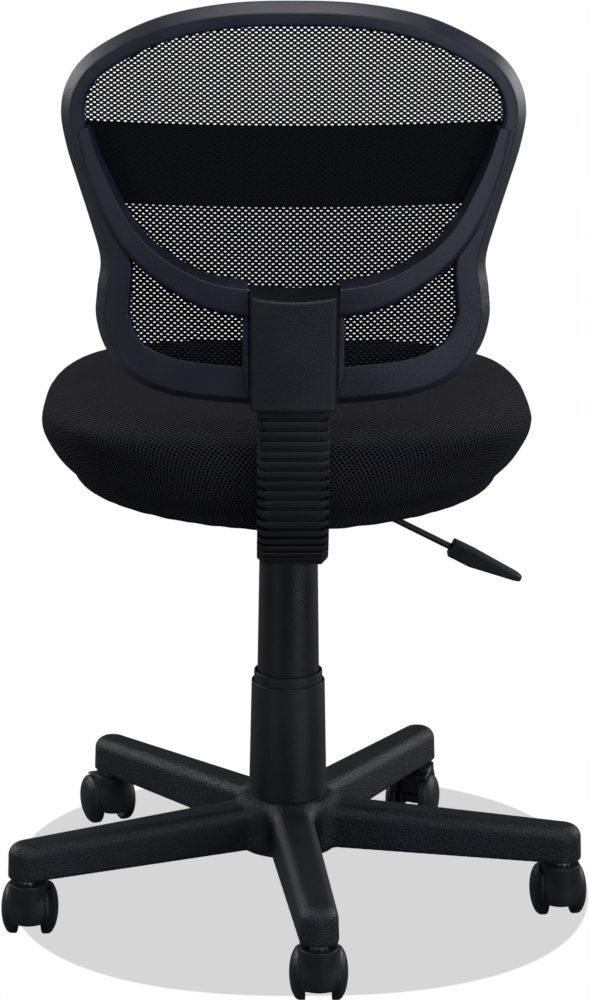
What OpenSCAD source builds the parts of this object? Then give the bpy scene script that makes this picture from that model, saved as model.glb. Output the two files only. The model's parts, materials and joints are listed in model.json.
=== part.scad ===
// Armless swivel task chair: five-arm base on twin-wheel casters, gas lift in telescoping
// covers, upholstered seat, J-shaped back bar and a curved mesh back. Millimetres, +Z up.
// The origin is on the floor, on the swivel axis. The sitter faces -Y and the back is at +Y.

/* [Base] */
// Radius of the circle of caster stems
stem_circle_r = 272; // [262:1:280]
// Turn of the base about the swivel axis, degrees
base_turn = 5.2; // [0:0.1:10]
// Height of the top of the hub
hub_top_z = 109.5; // [108:0.5:111]
// Width of an arm at its tip
arm_tip_w = 36; // [34:1:40]
// Height of the flat underside of an arm
arm_under_z = 63; // [62:0.5:65]

/* [Casters] */
// Wheel diameter
wheel_d = 51; // [50:0.5:52]
// Distance from the stem's axis back to the axle
caster_trail = 16; // [15:0.5:17]
// Width between the two wheels of a caster
wheel_gap = 24.4; // [24:0.2:25]
// Overall width across the two wheels
caster_w = 54.5; // [53:0.5:56]

/* [Gas lift and covers] */
// Outside diameter of the gas lift's outer tube
tube_d = 50; // [49:0.5:50]
// Diameter of the sliding gas cylinder
cylinder_d = 28; // [27:0.5:28]
// Height of the top of the gas cylinder
cylinder_top_z = 408; // [406:1:409]
// Height of the top of the lower cover
lower_cover_top_z = 226; // [224:1:230]

/* [Seat] */
// Width of the seat
seat_w = 466; // [456:1:476]
// Height of the underside of the seat
seat_bottom_z = 427; // [427:0.5:429]
// Height of the crown of the seat
seat_top_z = 525; // [522:1:530]
// Depth of the seat, front to rear
seat_d = 447; // [440:1:455]
// Distance of the seat's centre in front of the swivel axis
seat_forward = 3; // [0:1:6]

/* [Back] */
// Height of the lowest point of the back frame
back_bottom_z = 552; // [551:1:553]
// Depth of the frame's rim, front to rear
rim_depth = 20; // [18:0.5:20]
// Radius of the sideways curve of the back
back_radius = 550; // [520:5:600]
// Lean of the back from upright, degrees
back_lean = 4.8; // [4:0.1:5.2]
// Distance of the back's front surface behind the axis, at its lowest point
back_front_y = 211.6; // [211:0.1:212]
// Low edge of the opaque band across the mesh
band_low_z = 731; // [725:1:745]
// High edge of the opaque band across the mesh
band_high_z = 804; // [800:1:815]

/* [Back bar] */
// Width of the flat steel bar
bar_w = 50; // [48:1:51]
// Thickness of the flat steel bar
bar_t = 6; // [5:0.5:6]
// Width of the ribbed cover over the bar
bar_cover_w = 64; // [62:1:66]
// Spacing of the ribs of the cover
rib_pitch = 9; // [9:0.1:9.4]

/* [Lever] */
// Diameter of the lever's rod
lever_rod_d = 6.4; // [6:0.1:6.4]
// Slope of the lever below level, degrees
lever_slope = 27; // [25:0.5:28]

/* [Hidden] */
$fn = 96;
soft_fn = 32;

nylon = "#1d1e26";
frame_black = "#2a2b36";
fabric_black = "#161618";
steel_black = "#232326";
steel = "#b4b6ba";

// Base and casters: arm i points to +Y turned by arm_angle(i), counter-clockwise from above
function arm_angle(i) = base_turn + 72 * (i - 1);
// Direction in which each caster's stem leads its wheels, counter-clockwise from +Y
caster_heading = [-1, 6, 162, 22, -3];
wheel_r = wheel_d / 2;
wheel_inner_x = wheel_gap / 2;
wheel_outer_x = caster_w / 2;
tread_outer_x = 17.5;
hood_half_w = 18;
hood_r = wheel_r + 3;
hood_top_z = 57;
hood_low_z = 15;
wheel_clear = 0.7;
stem_r = 5.5;
stem_top_z = 88;
axle_r = 3;
running_gap = 0.05;
hub_low_z = 58;
arm_end_r = arm_tip_w / 2;
arm_wall = 5;
arm_tip_top_z = 97;

// Gas lift
tube_r = tube_d / 2;
tube_wall = 1.5;
tube_low_z = 58;
tube_top_z = 252;
cylinder_r = cylinder_d / 2;
cylinder_low_z = 168;
cylinder_wall = 1.8;
end_plug_h = 12;
rod_r = 5;
rod_low_z = 52;
piston_z = 196;
piston_h = 10;
valve_r = 3;
valve_top_z = cylinder_top_z + 5;
valve_len = 36;
valve_travel = 5;
cover_wall = 1.6;
socket_h = 40;

// Seat: plan is a rounded D, made from one curve of half-sizes and a power
// Powers of the plan's curve at the underside and at the crown
base_power = 2;
crown_power = 3.4;
widest_h = 64;
hem_inset = 42;
plan_steps = 72;
seat_cx = 2.5;
seat_cy = -seat_forward;
cloth_t = 3;
pan_t = 9;
pan_low_z = seat_bottom_z + cloth_t + 0.2;
pan_top_z = pan_low_z + pan_t;
dust_t = 0.8;
plate_t = 3;
plate_top_z = seat_bottom_z - dust_t - 0.2;
plate_low_z = plate_top_z - plate_t;
bolt_r = 3;
bolt_x = 60;
bolt_front_y = -70;
bolt_rear_y = 70;
// Inset from the widest outline of the part below it, which tucks in towards the hem
function under_inset(h) = hem_inset * pow(1 - h / widest_h, 1.6);
// Inset from the widest outline, height above the underside and power of the plan, up to the crown
seat_profile = [
    for (h = [0, 5, 15, 29, 44]) [under_inset(h), h, base_power],
    [under_inset(56), 56, 2.1], [0, widest_h, 2.2], [2, 73, 2.5], [5, 82, 2.8], [13, 90, 3.1],
    [32, 95, 3.3], [58, 97.5, crown_power], [95, 99, crown_power]
];
profile_top = 99;

// Back bar: level under the seat, then a bend, then upright into the housing
bar_level_z = 412.5;
bar_y = 244;
bend_r = 44;
bar_front_y = 34;
bar_top_z = 640;
bend_z = bar_level_z + bend_r;
bar_cover_d = 22;
cover_top_z = 556;

// Back frame: half of its outline, x and z, from the lowest point up to the crest
frame_half = [
    [0, 552], [58, 554], [112, 560], [148, 576], [167, 600], [175, 628], [173.5, 655],
    [170.5, 682], [178.5, 714], [189.5, 750], [199, 782], [203.5, 812], [198, 838], [181, 862],
    [148, 884], [108, 901], [56, 911.5]
];
crest = [0, 914];
frame_loop = concat(
    frame_half, [crest],
    [for (i = [len(frame_half) - 1:-1:1]) [-frame_half[i][0], frame_half[i][1]]]
);
curve_steps = 4;
narrow_rim = 21;
wide_rim = 31;
// Centre line of the bow behind the mesh: x, z, width and distance behind the front surface
bow_half = [
    [0, 650, 34, 13], [40, 652, 34, 13], [75, 658, 32, 13], [105, 672, 29, 12],
    [130, 690, 27, 11], [149, 712, 25, 9.5], [164, 740, 23, 7.5], [176, 770, 19, 6], [184, 800, 14, 4.5]
];
bow_line = concat(
    [for (i = [len(bow_half) - 1:-1:1]) [-bow_half[i][0], bow_half[i][1], bow_half[i][2], bow_half[i][3]]],
    bow_half
);
bow_t = 17;
housing_low_z = 555;
housing_top_z = 665;
housing_slope = 15;
housing_front_y = 232;
housing_rear_y = 262;
housing_front_w = 84;
housing_rear_w = 77;
spine_w = 60;
mesh_t = 1;
mesh_gap = 0.25;
mesh_hold = 5.5;
groove_w = 3;
rim_bevel = 8.5;

// Lever
lever_z = valve_top_z + 0.3 + lever_rod_d / 2;
lever_pivot_x = -37.5;
lever_bend_x = -44;
lever_run = 144;
handle_start = 126;
handle_len = 76;

// ---------- curves and sweeps ----------

function spline_at(a, b, c, d, t) =
    0.5 * (2 * b + (c - a) * t + (2 * a - 5 * b + 4 * c - d) * t * t
           + (3 * b - a - 3 * c + d) * t * t * t);

function closed_spline(p, n) = [
    for (i = [0:len(p) - 1]) for (j = [0:n - 1])
        spline_at(p[(i + len(p) - 1) % len(p)], p[i], p[(i + 1) % len(p)], p[(i + 2) % len(p)], j / n)
];

function open_spline(p, n) = concat(
    [for (i = [0:len(p) - 2]) for (j = [0:n - 1])
        spline_at(p[max(i - 1, 0)], p[i], p[i + 1], p[min(i + 2, len(p) - 1)], j / n)],
    [p[len(p) - 1]]
);

function unit(v) = v / norm(v);

// Faces of a tube whose rings all have m points; it is capped unless it closes on itself
function tube_faces(rings, m, closed) = concat(
    [for (i = [0:rings - (closed ? 1 : 2)]) for (j = [0:m - 1])
        let (i2 = (i + 1) % rings, j2 = (j + 1) % m)
        [i * m + j, i * m + j2, i2 * m + j2, i2 * m + j]],
    closed ? [] : [[for (j = [m - 1:-1:0]) j], [for (j = [0:m - 1]) (rings - 1) * m + j]]
);

module tube_of(rings, closed = false) {
    m = len(rings[0]);
    polyhedron([for (r = rings) each r], tube_faces(len(rings), m, closed), convexity = 12);
}

// ---------- base ----------

module at_arm(i) {
    rotate([0, 0, arm_angle(i)]) translate([0, stem_circle_r, 0]) children();
}

// A short round post with a stepped crown, which the arm's two ends are made from
module arm_stack(top_z, r) {
    translate([0, 0, arm_under_z]) cylinder(h = top_z - 14 - arm_under_z, r = r, $fn = soft_fn);
    translate([0, 0, arm_under_z]) cylinder(h = top_z - 5 - arm_under_z, r = r - 4, $fn = soft_fn);
    translate([0, 0, arm_under_z]) cylinder(h = top_z - arm_under_z, r = r - 10, $fn = soft_fn);
}

module base_arm() {
    difference() {
        hull() {
            translate([0, 30, 0]) arm_stack(hub_top_z - 4.5, 21);
            translate([0, stem_circle_r, 0]) arm_stack(arm_tip_top_z, arm_end_r);
        }
        for (side = [-1, 1])
            translate([side * (arm_tip_w / 4 - 0.5) - 6, 52, 40])
                cube([12, stem_circle_r - 52 - 16, arm_tip_top_z - arm_wall - 48]);
    }
}

module star_base() {
    color(nylon) difference() {
        union() {
            rotate_extrude() polygon([
                [0, hub_low_z], [43.5, hub_low_z], [46, hub_low_z + 3], [46, hub_top_z - 14],
                [43, hub_top_z - 5], [40, hub_top_z], [0, hub_top_z]
            ]);
            for (i = [1:5]) rotate([0, 0, arm_angle(i)]) base_arm();
        }
        translate([0, 0, hub_low_z - 10]) cylinder(h = hub_top_z, r = tube_r + 0.02);
        for (i = [1:5])
            at_arm(i) translate([0, 0, arm_under_z - 1])
                cylinder(h = stem_top_z + 0.3 - arm_under_z + 1, r = stem_r + running_gap);
    }
}

// ---------- casters ----------

// Puts a caster, drawn with its stem on the Z axis and its wheels towards -Y, under arm i
module at_caster(i) {
    a = arm_angle(i);
    translate([-stem_circle_r * sin(a), stem_circle_r * cos(a), 0])
        rotate([0, 0, caster_heading[i - 1]]) children();
}

module on_axle() {
    translate([0, -caster_trail, wheel_r]) rotate([0, 90, 0]) children();
}

module caster_stem(i) {
    color(steel) at_caster(i) {
        translate([0, 0, 36]) cylinder(h = stem_top_z - 37, r = stem_r);
        translate([0, 0, stem_top_z - 1]) cylinder(h = 1, r1 = stem_r, r2 = stem_r - 1);
        translate([0, 0, hood_top_z]) cylinder(h = 1.5, r = stem_r + 2.5);
    }
}

module caster_hood(i) {
    color(nylon) at_caster(i) difference() {
        intersection() {
            union() {
                on_axle() cylinder(h = 2 * hood_half_w, r = hood_r, center = true);
                translate([0, 0, wheel_r]) cylinder(h = hood_top_z - wheel_r, r = hood_half_w);
                translate([-hood_half_w, -caster_trail, wheel_r])
                    cube([2 * hood_half_w, caster_trail, hood_top_z - wheel_r - 1.5]);
            }
            translate([-30, -caster_trail - 12, hood_low_z]) cube([60, 60, 60]);
        }
        for (side = [-1, 1])
            translate([side * (wheel_inner_x - 0.4 + 10), 0, 0])
                on_axle() cylinder(h = 20, r = wheel_r + wheel_clear, center = true);
        on_axle() cylinder(h = 60, r = axle_r, center = true);
        translate([0, 0, 36]) cylinder(h = 30, r = stem_r);
    }
}

module caster_axle(i) {
    color(steel) at_caster(i) on_axle() cylinder(h = 2 * wheel_outer_x - 12, r = axle_r, center = true);
}

// A wheel is a solid of revolution: flat inside, a narrow tread and a domed outer face
module caster_wheel(i, side) {
    dome = tread_outer_x;
    color(nylon) at_caster(i) translate([0, -caster_trail, wheel_r]) rotate([0, side * 90, 0])
        difference() {
            rotate_extrude() polygon(concat(
                [[0, wheel_inner_x], [wheel_r - 1, wheel_inner_x], [wheel_r, wheel_inner_x + 1]],
                [for (k = [0:10]) [wheel_r * cos(9 * k), dome + (wheel_outer_x - dome) * sin(9 * k)]]
            ));
            translate([0, 0, wheel_inner_x - 1])
                cylinder(h = wheel_outer_x - wheel_inner_x - 4, r = axle_r + running_gap);
        }
}

// ---------- gas lift and covers ----------

module ring(low_z, high_z, outer_r, inner_r) {
    translate([0, 0, low_z]) difference() {
        cylinder(h = high_z - low_z, r = outer_r);
        translate([0, 0, -1]) cylinder(h = high_z - low_z + 2, r = inner_r);
    }
}

module gas_outer_tube() {
    color(steel_black) {
        ring(tube_low_z + 3, tube_top_z, tube_r, tube_r - tube_wall);
        ring(tube_low_z, tube_low_z + 3.01, tube_r, rod_r + 0.5);
    }
}

module gas_guide_bush() {
    color("white") ring(190, tube_top_z - 1, tube_r - tube_wall - 0.05, cylinder_r + running_gap);
}

module gas_thrust_bearing() {
    color(steel) ring(tube_low_z + 3.1, tube_low_z + 6, 11, rod_r + running_gap);
}

module gas_piston_rod() {
    color(steel) {
        translate([0, 0, rod_low_z]) cylinder(h = piston_z - rod_low_z + 1, r = rod_r);
        translate([0, 0, piston_z]) cylinder(h = piston_h, r = cylinder_r - cylinder_wall - running_gap);
    }
}

module gas_clip() {
    color(steel) ring(tube_low_z - 2.2, tube_low_z - 0.2, 10, rod_r);
}

module gas_cylinder() {
    color(steel_black) difference() {
        translate([0, 0, cylinder_low_z])
            cylinder(h = cylinder_top_z - cylinder_low_z, r = cylinder_r);
        translate([0, 0, cylinder_low_z + end_plug_h])
            cylinder(h = cylinder_top_z - 50 - cylinder_low_z - end_plug_h, r = cylinder_r - cylinder_wall);
        translate([0, 0, cylinder_low_z - 1]) cylinder(h = end_plug_h + 2, r = rod_r + running_gap);
        translate([0, 0, valve_top_z - valve_len - valve_travel - 1])
            cylinder(h = valve_len + valve_travel + 2, r = valve_r + running_gap);
    }
}

module gas_valve_pin() {
    color(steel) translate([0, 0, valve_top_z - valve_len]) cylinder(h = valve_len, r = valve_r);
}

module cover_lower() {
    color(nylon) rotate_extrude() polygon([
        [38, hub_top_z], [38, hub_top_z + 3], [35.6, lower_cover_top_z - 1],
        [35.2, lower_cover_top_z], [33.9, lower_cover_top_z], [33.9, lower_cover_top_z - 4],
        [38 - cover_wall - 0.4, hub_top_z]
    ]);
}

module cover_middle() {
    top = lower_cover_top_z + 10;
    color(nylon) rotate_extrude() polygon([
        [33.2, top - 109], [33.2, top - 1], [32.8, top], [31.6, top], [31.6, top - 109]
    ]);
}

module cover_upper() {
    low = 215;
    top = cylinder_top_z - socket_h - 0.2;
    color(nylon) rotate_extrude() polygon([
        [31.2, low], [31.2, low + 4], [30.2, low + 6], [28, top - 1], [27, top],
        [cylinder_r + 0.02, top], [cylinder_r + 0.02, top - 2],
        [28 - cover_wall, top - 2], [30 - cover_wall, low]
    ]);
}

// ---------- seat mechanism and lever ----------

module taper_socket() {
    color(steel_black)
        ring(cylinder_top_z - socket_h, cylinder_top_z, cylinder_r + 4, cylinder_r + 0.02);
}

module mechanism_bolts(r, low_z, high_z) {
    for (x = [-bolt_x, bolt_x]) for (y = [bolt_front_y, bolt_rear_y])
        translate([x, y, low_z]) cylinder(h = high_z - low_z, r = r);
}

bar_bolt_y = [52, 80];

module bar_bolt_shafts(r, low_z, high_z) {
    for (y = bar_bolt_y) translate([0, y, low_z]) cylinder(h = high_z - low_z, r = r);
}

module seat_mechanism() {
    wall_x = 36;
    low_z = 394;
    color(steel_black) difference() {
        union() {
            translate([-80, -90, plate_low_z]) cube([160, 190, plate_t]);
            for (side = [-1, 1]) translate([side * (wall_x + 1.5) - 1.5, -60, low_z])
                cube([3, 90, plate_low_z - low_z + 1]);
            translate([-wall_x - 3, -60, low_z]) cube([2 * wall_x + 6, 90, 3]);
            translate([-26, bar_front_y, bar_level_z + bar_t / 2 + 0.05])
                cube([52, 62, plate_low_z - bar_level_z - bar_t / 2]);
        }
        translate([0, 0, low_z - 1]) cylinder(h = 5, r = cylinder_r + 4.02);
        translate([-wall_x - 5, 0, lever_z]) rotate([0, 90, 0]) cylinder(h = 7, r = lever_rod_d / 2 + 1.6);
        mechanism_bolts(bolt_r + 0.3, plate_low_z - 1, plate_top_z + 1);
        bar_bolt_shafts(4.02, bar_level_z, plate_top_z + 1);
    }
}

// Places things along the lever's sloping run, which starts at the bend and goes down to -X
module along_lever(distance) {
    translate([lever_bend_x - distance * cos(lever_slope), 0, lever_z - distance * sin(lever_slope)])
        rotate([0, -90 - lever_slope, 0]) children();
}

module lever_rod() {
    r = lever_rod_d / 2;
    color(steel_black) {
        translate([lever_bend_x, 0, lever_z]) rotate([0, 90, 0]) cylinder(h = 5 - lever_bend_x, r = r);
        translate([lever_bend_x, 0, lever_z]) sphere(r = r);
        along_lever(0) cylinder(h = lever_run, r = r);
    }
}

// Drawn with its length along +Z, its underside towards -X and its width along Y
module lever_handle() {
    color(nylon) along_lever(handle_start) difference() {
        hull() {
            translate([-8, -7.5, 0]) cube([16, 15, 4]);
            translate([-8.5, -9, 12]) cube([17, 18, 14]);
            translate([1.5, 0, handle_len - 9]) rotate([0, 90, 0])
                cylinder(h = 5.5, r = 9, $fn = soft_fn);
        }
        translate([0, 0, -1]) cylinder(h = 19.2, r = lever_rod_d / 2 + 0.02);
    }
}

// ---------- seat ----------

function plan_x(a, power) = sign(cos(a)) * pow(abs(cos(a)), 2 / power);
function plan_y(a, power) = sign(sin(a)) * pow(abs(sin(a)), 2 / power);

function plan_ring(inset, z, power = base_power) = [
    for (k = [0:plan_steps - 1]) let (a = -360 * k / plan_steps) [
        seat_cx + (seat_w / 2 - inset) * plan_x(a, power),
        seat_cy + (seat_d / 2 - inset) * plan_y(a, power),
        z
    ]
];

module seat_slab(inset, low_z, high_z) {
    translate([0, 0, low_z]) linear_extrude(high_z - low_z)
        polygon([for (p = plan_ring(inset, 0)) [p[0], p[1]]]);
}

module seat_form(shrink) {
    scale_z = (seat_top_z - seat_bottom_z) / profile_top;
    tube_of([for (p = seat_profile)
        plan_ring(p[0] + shrink, min(max(seat_bottom_z + p[1] * scale_z, seat_bottom_z + shrink + 0.01 * p[1]),
                                     seat_top_z - shrink - 0.01 * (profile_top - p[1])),
                  p[2])]);
}

module seat_cover() {
    color(fabric_black) difference() {
        seat_form(0);
        seat_form(cloth_t);
        seat_slab(66, seat_bottom_z - 1, seat_bottom_z + cloth_t + 1);
    }
}

module seat_foam() {
    color("#cfc9a8") difference() {
        intersection() {
            seat_form(cloth_t + 0.2);
            seat_slab(-40, pan_top_z + 0.1, seat_top_z);
        }
        mechanism_bolts(11, pan_top_z - 1, pan_top_z + 6);
    }
}

module seat_pan() {
    color("#c9a877") difference() {
        seat_slab(46, pan_low_z, pan_top_z);
        mechanism_bolts(bolt_r + 1.5, pan_low_z - 1, pan_top_z + 1);
    }
}

module seat_tee_nuts() {
    color(steel) difference() {
        union() {
            mechanism_bolts(bolt_r + 1.45, pan_low_z, pan_top_z + 0.5);
            mechanism_bolts(10, pan_top_z + 0.1, pan_top_z + 1.6);
        }
        mechanism_bolts(bolt_r, pan_low_z - 1, pan_top_z + 3);
    }
}

module seat_bolts() {
    color(steel) {
        mechanism_bolts(bolt_r, plate_low_z - 1, pan_top_z);
        mechanism_bolts(6, plate_low_z - 4.1, plate_low_z - 0.1);
    }
}

module seat_dust_cover() {
    color(fabric_black) difference() {
        seat_slab(52, seat_bottom_z - dust_t - 0.1, seat_bottom_z - 0.1);
        mechanism_bolts(bolt_r + 0.3, plate_low_z, pan_low_z);
    }
}

// ---------- back bar ----------

// A box-shaped section swept along the bar's middle line
module bar_path(w, t, front_y, top_z) {
    translate([-w / 2, front_y, bar_level_z - t / 2]) cube([w, bar_y - bend_r - front_y, t]);
    translate([0, bar_y - bend_r, bend_z]) rotate([0, 90, 0])
        rotate_extrude(angle = 90) translate([bend_r - t / 2, -w / 2]) square([t, w]);
    translate([-w / 2, bar_y - t / 2, bend_z]) cube([w, t, top_z - bend_z]);
}

back_bolt_z = [585, 622];

module back_bolt_shafts(r, low_y, high_y) {
    for (z = back_bolt_z) translate([0, high_y, z]) rotate([90, 0, 0]) cylinder(h = high_y - low_y, r = r);
}

module back_bar() {
    color(steel_black) difference() {
        bar_path(bar_w, bar_t, bar_front_y, bar_top_z);
        bar_bolt_shafts(4.02, bar_level_z - 10, bar_level_z + 10);
        back_bolt_shafts(3.02, bar_y - 10, bar_y + 10);
    }
}

module bar_bolts() {
    color(steel) {
        bar_bolt_shafts(4, bar_level_z - bar_t / 2 - 1, plate_top_z - 0.5);
        bar_bolt_shafts(7, bar_level_z - bar_t / 2 - 5.1, bar_level_z - bar_t / 2 - 0.1);
    }
}

// One rib: a flat box with its rear corners cut off, drawn in the plane z = 0
module cover_rib(w, d, h) {
    cut = 6;
    linear_extrude(h) polygon([
        [-w / 2, -d / 2 + 2], [-w / 2 + 2, -d / 2], [w / 2 - 2, -d / 2], [w / 2, -d / 2 + 2],
        [w / 2, d / 2 - cut], [w / 2 - cut, d / 2], [-w / 2 + cut, d / 2], [-w / 2, d / 2 - cut]
    ]);
}

module bar_cover() {
    rib_h = 5.5;
    straight = floor((cover_top_z - bend_z) / rib_pitch);
    turn = rib_pitch / (bend_r + bar_cover_d / 2) * 180 / PI;
    bent = floor(90 / turn);
    color(nylon) difference() {
        union() {
            bar_path(bar_cover_w - 4, bar_cover_d - 4, bar_y - bend_r - 4, cover_top_z);
            for (k = [0:straight - 1])
                translate([0, bar_y, bend_z + k * rib_pitch + (rib_pitch - rib_h) / 2])
                    cover_rib(bar_cover_w, bar_cover_d, rib_h);
            for (k = [1:bent])
                translate([0, bar_y - bend_r, bend_z]) rotate([-k * turn, 0, 0])
                    translate([0, bend_r, 0]) cover_rib(bar_cover_w, bar_cover_d, rib_h);
        }
        bar_path(bar_w + 0.4, bar_t + 0.4, bar_y - bend_r - 10, cover_top_z + 1);
    }
}

module housing_plan(grow) {
    polygon([
        [-housing_front_w / 2 - grow, housing_front_y], [housing_front_w / 2 + grow, housing_front_y],
        [housing_rear_w / 2 + grow, housing_rear_y - 4], [housing_rear_w / 2 - 4, housing_rear_y + grow],
        [-housing_rear_w / 2 + 4, housing_rear_y + grow], [-housing_rear_w / 2 - grow, housing_rear_y - 4]
    ]);
}

module back_housing() {
    color(frame_black) difference() {
        translate([0, 0, housing_low_z]) linear_extrude(housing_top_z - housing_low_z) housing_plan(0);
        translate([-housing_front_w, housing_front_y, housing_top_z]) rotate([-housing_slope, 0, 0])
            translate([0, -20, 0]) cube([2 * housing_front_w, 80, 30]);
        translate([-bar_w / 2 - 0.2, bar_y - bar_t / 2 - 0.2, housing_low_z - 1])
            cube([bar_w + 0.4, bar_t + 0.4, bar_top_z - housing_low_z + 2]);
        translate([-bar_cover_w / 2 - 0.3, housing_front_y - 1, housing_low_z - 1])
            cube([bar_cover_w + 0.6, bar_y + bar_cover_d / 2 + 1.3 - housing_front_y, cover_top_z - housing_low_z + 1.5]);
        back_bolt_shafts(3.02, housing_front_y - 5, bar_y + 5);
        for (z = back_bolt_z) translate([0, bar_y + bar_t / 2 + 6, z]) rotate([90, 0, 0]) cylinder(h = 6.5, r = 7.1);
    }
}

// ---------- back frame and mesh ----------

// Front surface of the back: leaning, and curved round the sitter
function front_y(x, z) = back_front_y + (z - back_bottom_z) * tan(back_lean) - x * x / (2 * back_radius);

function rim_width(z) =
    let (t = min(max((z - 640) / 140, 0), 1)) wide_rim + (narrow_rim - wide_rim) * t * t * (3 - 2 * t);

outline = closed_spline(frame_loop, curve_steps);
turns = len(outline);

function inward(i) =
    let (d = unit(outline[(i + 1) % turns] - outline[(i + turns - 1) % turns])) [-d[1], d[0]];

function on_back(p, depth) = [p[0], front_y(p[0], p[1]) + depth, p[1]];

// A point of the rim's section: distance inwards from the outer edge, and depth
function rim_point(i, inwards, depth) = on_back(outline[i] + inward(i) * inwards, depth);

// How far the rim is the level rail along the bottom, which is wider at its rear
function rail(i) = max(inward(i)[1], 0) * (outline[i][1] < 640 ? 1 : 0);

module rim() {
    tube_of([for (i = [0:turns - 1]) let (w = rim_width(outline[i][1])) [
        rim_point(i, 0, 3), rim_point(i, 2.5, 0), rim_point(i, w - mesh_hold - groove_w, 0),
        rim_point(i, w - mesh_hold - groove_w, 3), rim_point(i, w - mesh_hold, 3),
        rim_point(i, w - mesh_hold, 0), rim_point(i, w, 0),
        rim_point(i, w - 1 + 5 * rail(i), rim_depth - 5), rim_point(i, w - 4 + 9 * rail(i), rim_depth), rim_point(i, rim_bevel, rim_depth), rim_point(i, 0, rim_depth - 12)
    ]], closed = true);
}

bow_points = open_spline(bow_line, curve_steps);

function bow_side(i) =
    let (n = len(bow_points), a = bow_points[max(i - 1, 0)], b = bow_points[min(i + 1, n - 1)],
         d = unit([b[0] - a[0], b[1] - a[1]])) [-d[1], d[0]];

function bow_point(i, across, depth) =
    let (p = bow_points[i]) on_back([p[0], p[1]] + bow_side(i) * across * p[2], p[3] + depth);

module bow() {
    tube_of([for (i = [0:len(bow_points) - 1]) [
        bow_point(i, 0.45, bow_t * 0.4), bow_point(i, 0.15, bow_t), bow_point(i, -0.3, bow_t),
        bow_point(i, -0.5, bow_t * 0.5), bow_point(i, -0.4, 0), bow_point(i, 0.5, 0)
    ]]);
}

module back_frame() {
    color(frame_black) difference() {
        union() {
            rim();
            bow();
            translate([-spine_w / 2, housing_front_y - 9.5, back_bottom_z + 12])
                cube([spine_w, 9.5, 90]);
        }
        translate([0, 0, housing_low_z - 1]) linear_extrude(housing_top_z - housing_low_z + 1.2) housing_plan(0.2);
        back_bolt_shafts(3.02, 190, 250);
        for (z = back_bolt_z) translate([0, housing_front_y - 2.5, z]) rotate([90, 0, 0]) cylinder(h = 30, r = 7);
    }
}

module back_bolts() {
    color(steel) {
        back_bolt_shafts(3, housing_front_y - 3, bar_y + bar_t / 2 + 5.5);
        back_bolt_shafts(6.8, housing_front_y - 5.6, housing_front_y - 2.6);
        back_bolt_shafts(6.8, bar_y + bar_t / 2 + 0.3, bar_y + bar_t / 2 + 5.5);
    }
}

panel_centre = [0, 735];

// A thin panel on the back's front surface, in rings drawn in from its edge to its centre
module back_panel(edge_hold, depth, thickness) {
    steps = [1, 0.75, 0.5, 0.25, 0.02];
    edge = [for (i = [0:turns - 1])
        outline[i] + inward(i) * (rim_width(outline[i][1]) - edge_hold)];
    function ring_at(s, d) = [for (p = edge) on_back(panel_centre + (p - panel_centre) * s, d)];
    tube_of(concat(
        [for (k = [len(steps) - 1:-1:0]) ring_at(steps[k], depth - thickness)],
        [for (s = steps) ring_at(s, depth)]
    ));
}

module back_mesh() {
    color("#3a3a38") back_panel(mesh_hold - 0.3, -mesh_gap, mesh_t);
}

module back_band() {
    color(fabric_black) intersection() {
        back_panel(mesh_hold - 0.6, -mesh_t - 2 * mesh_gap, mesh_t);
        translate([-250, 100, band_low_z]) cube([500, 200, band_high_z - band_low_z]);
    }
}

module mesh_cord() {
    color(fabric_black) tube_of([for (i = [0:turns - 1]) let (w = rim_width(outline[i][1]) - mesh_hold) [
        rim_point(i, w - groove_w + 0.2, -0.6), rim_point(i, w - 0.2, -0.6),
        rim_point(i, w - 0.2, 2.6), rim_point(i, w - groove_w + 0.2, 2.6)
    ]], closed = true);
}

// ---------- nodes ----------

star_base();
for (i = [1:5]) {
    caster_stem(i);
    caster_hood(i);
    caster_axle(i);
    caster_wheel(i, -1);
    caster_wheel(i, 1);
}
gas_outer_tube();
gas_guide_bush();
gas_piston_rod();
gas_thrust_bearing();
gas_clip();
gas_cylinder();
gas_valve_pin();
cover_lower();
cover_middle();
cover_upper();
seat_mechanism();
taper_socket();
lever_rod();
lever_handle();
seat_dust_cover();
seat_pan();
seat_tee_nuts();
seat_bolts();
seat_foam();
seat_cover();
back_bar();
bar_bolts();
bar_cover();
back_housing();
back_bolts();
back_frame();
back_mesh();
back_band();
mesh_cord();
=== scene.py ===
"""Looks of the swivel task chair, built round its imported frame.

Shapes are worked out in millimetres, in the frame's own axes: +Z up, the sitter faces -Y.
add_piece() turns them into metres. Every material is procedural.
"""

import json
import math

import bmesh
import bpy
import numpy as np
from mathutils import Matrix, Vector


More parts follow.
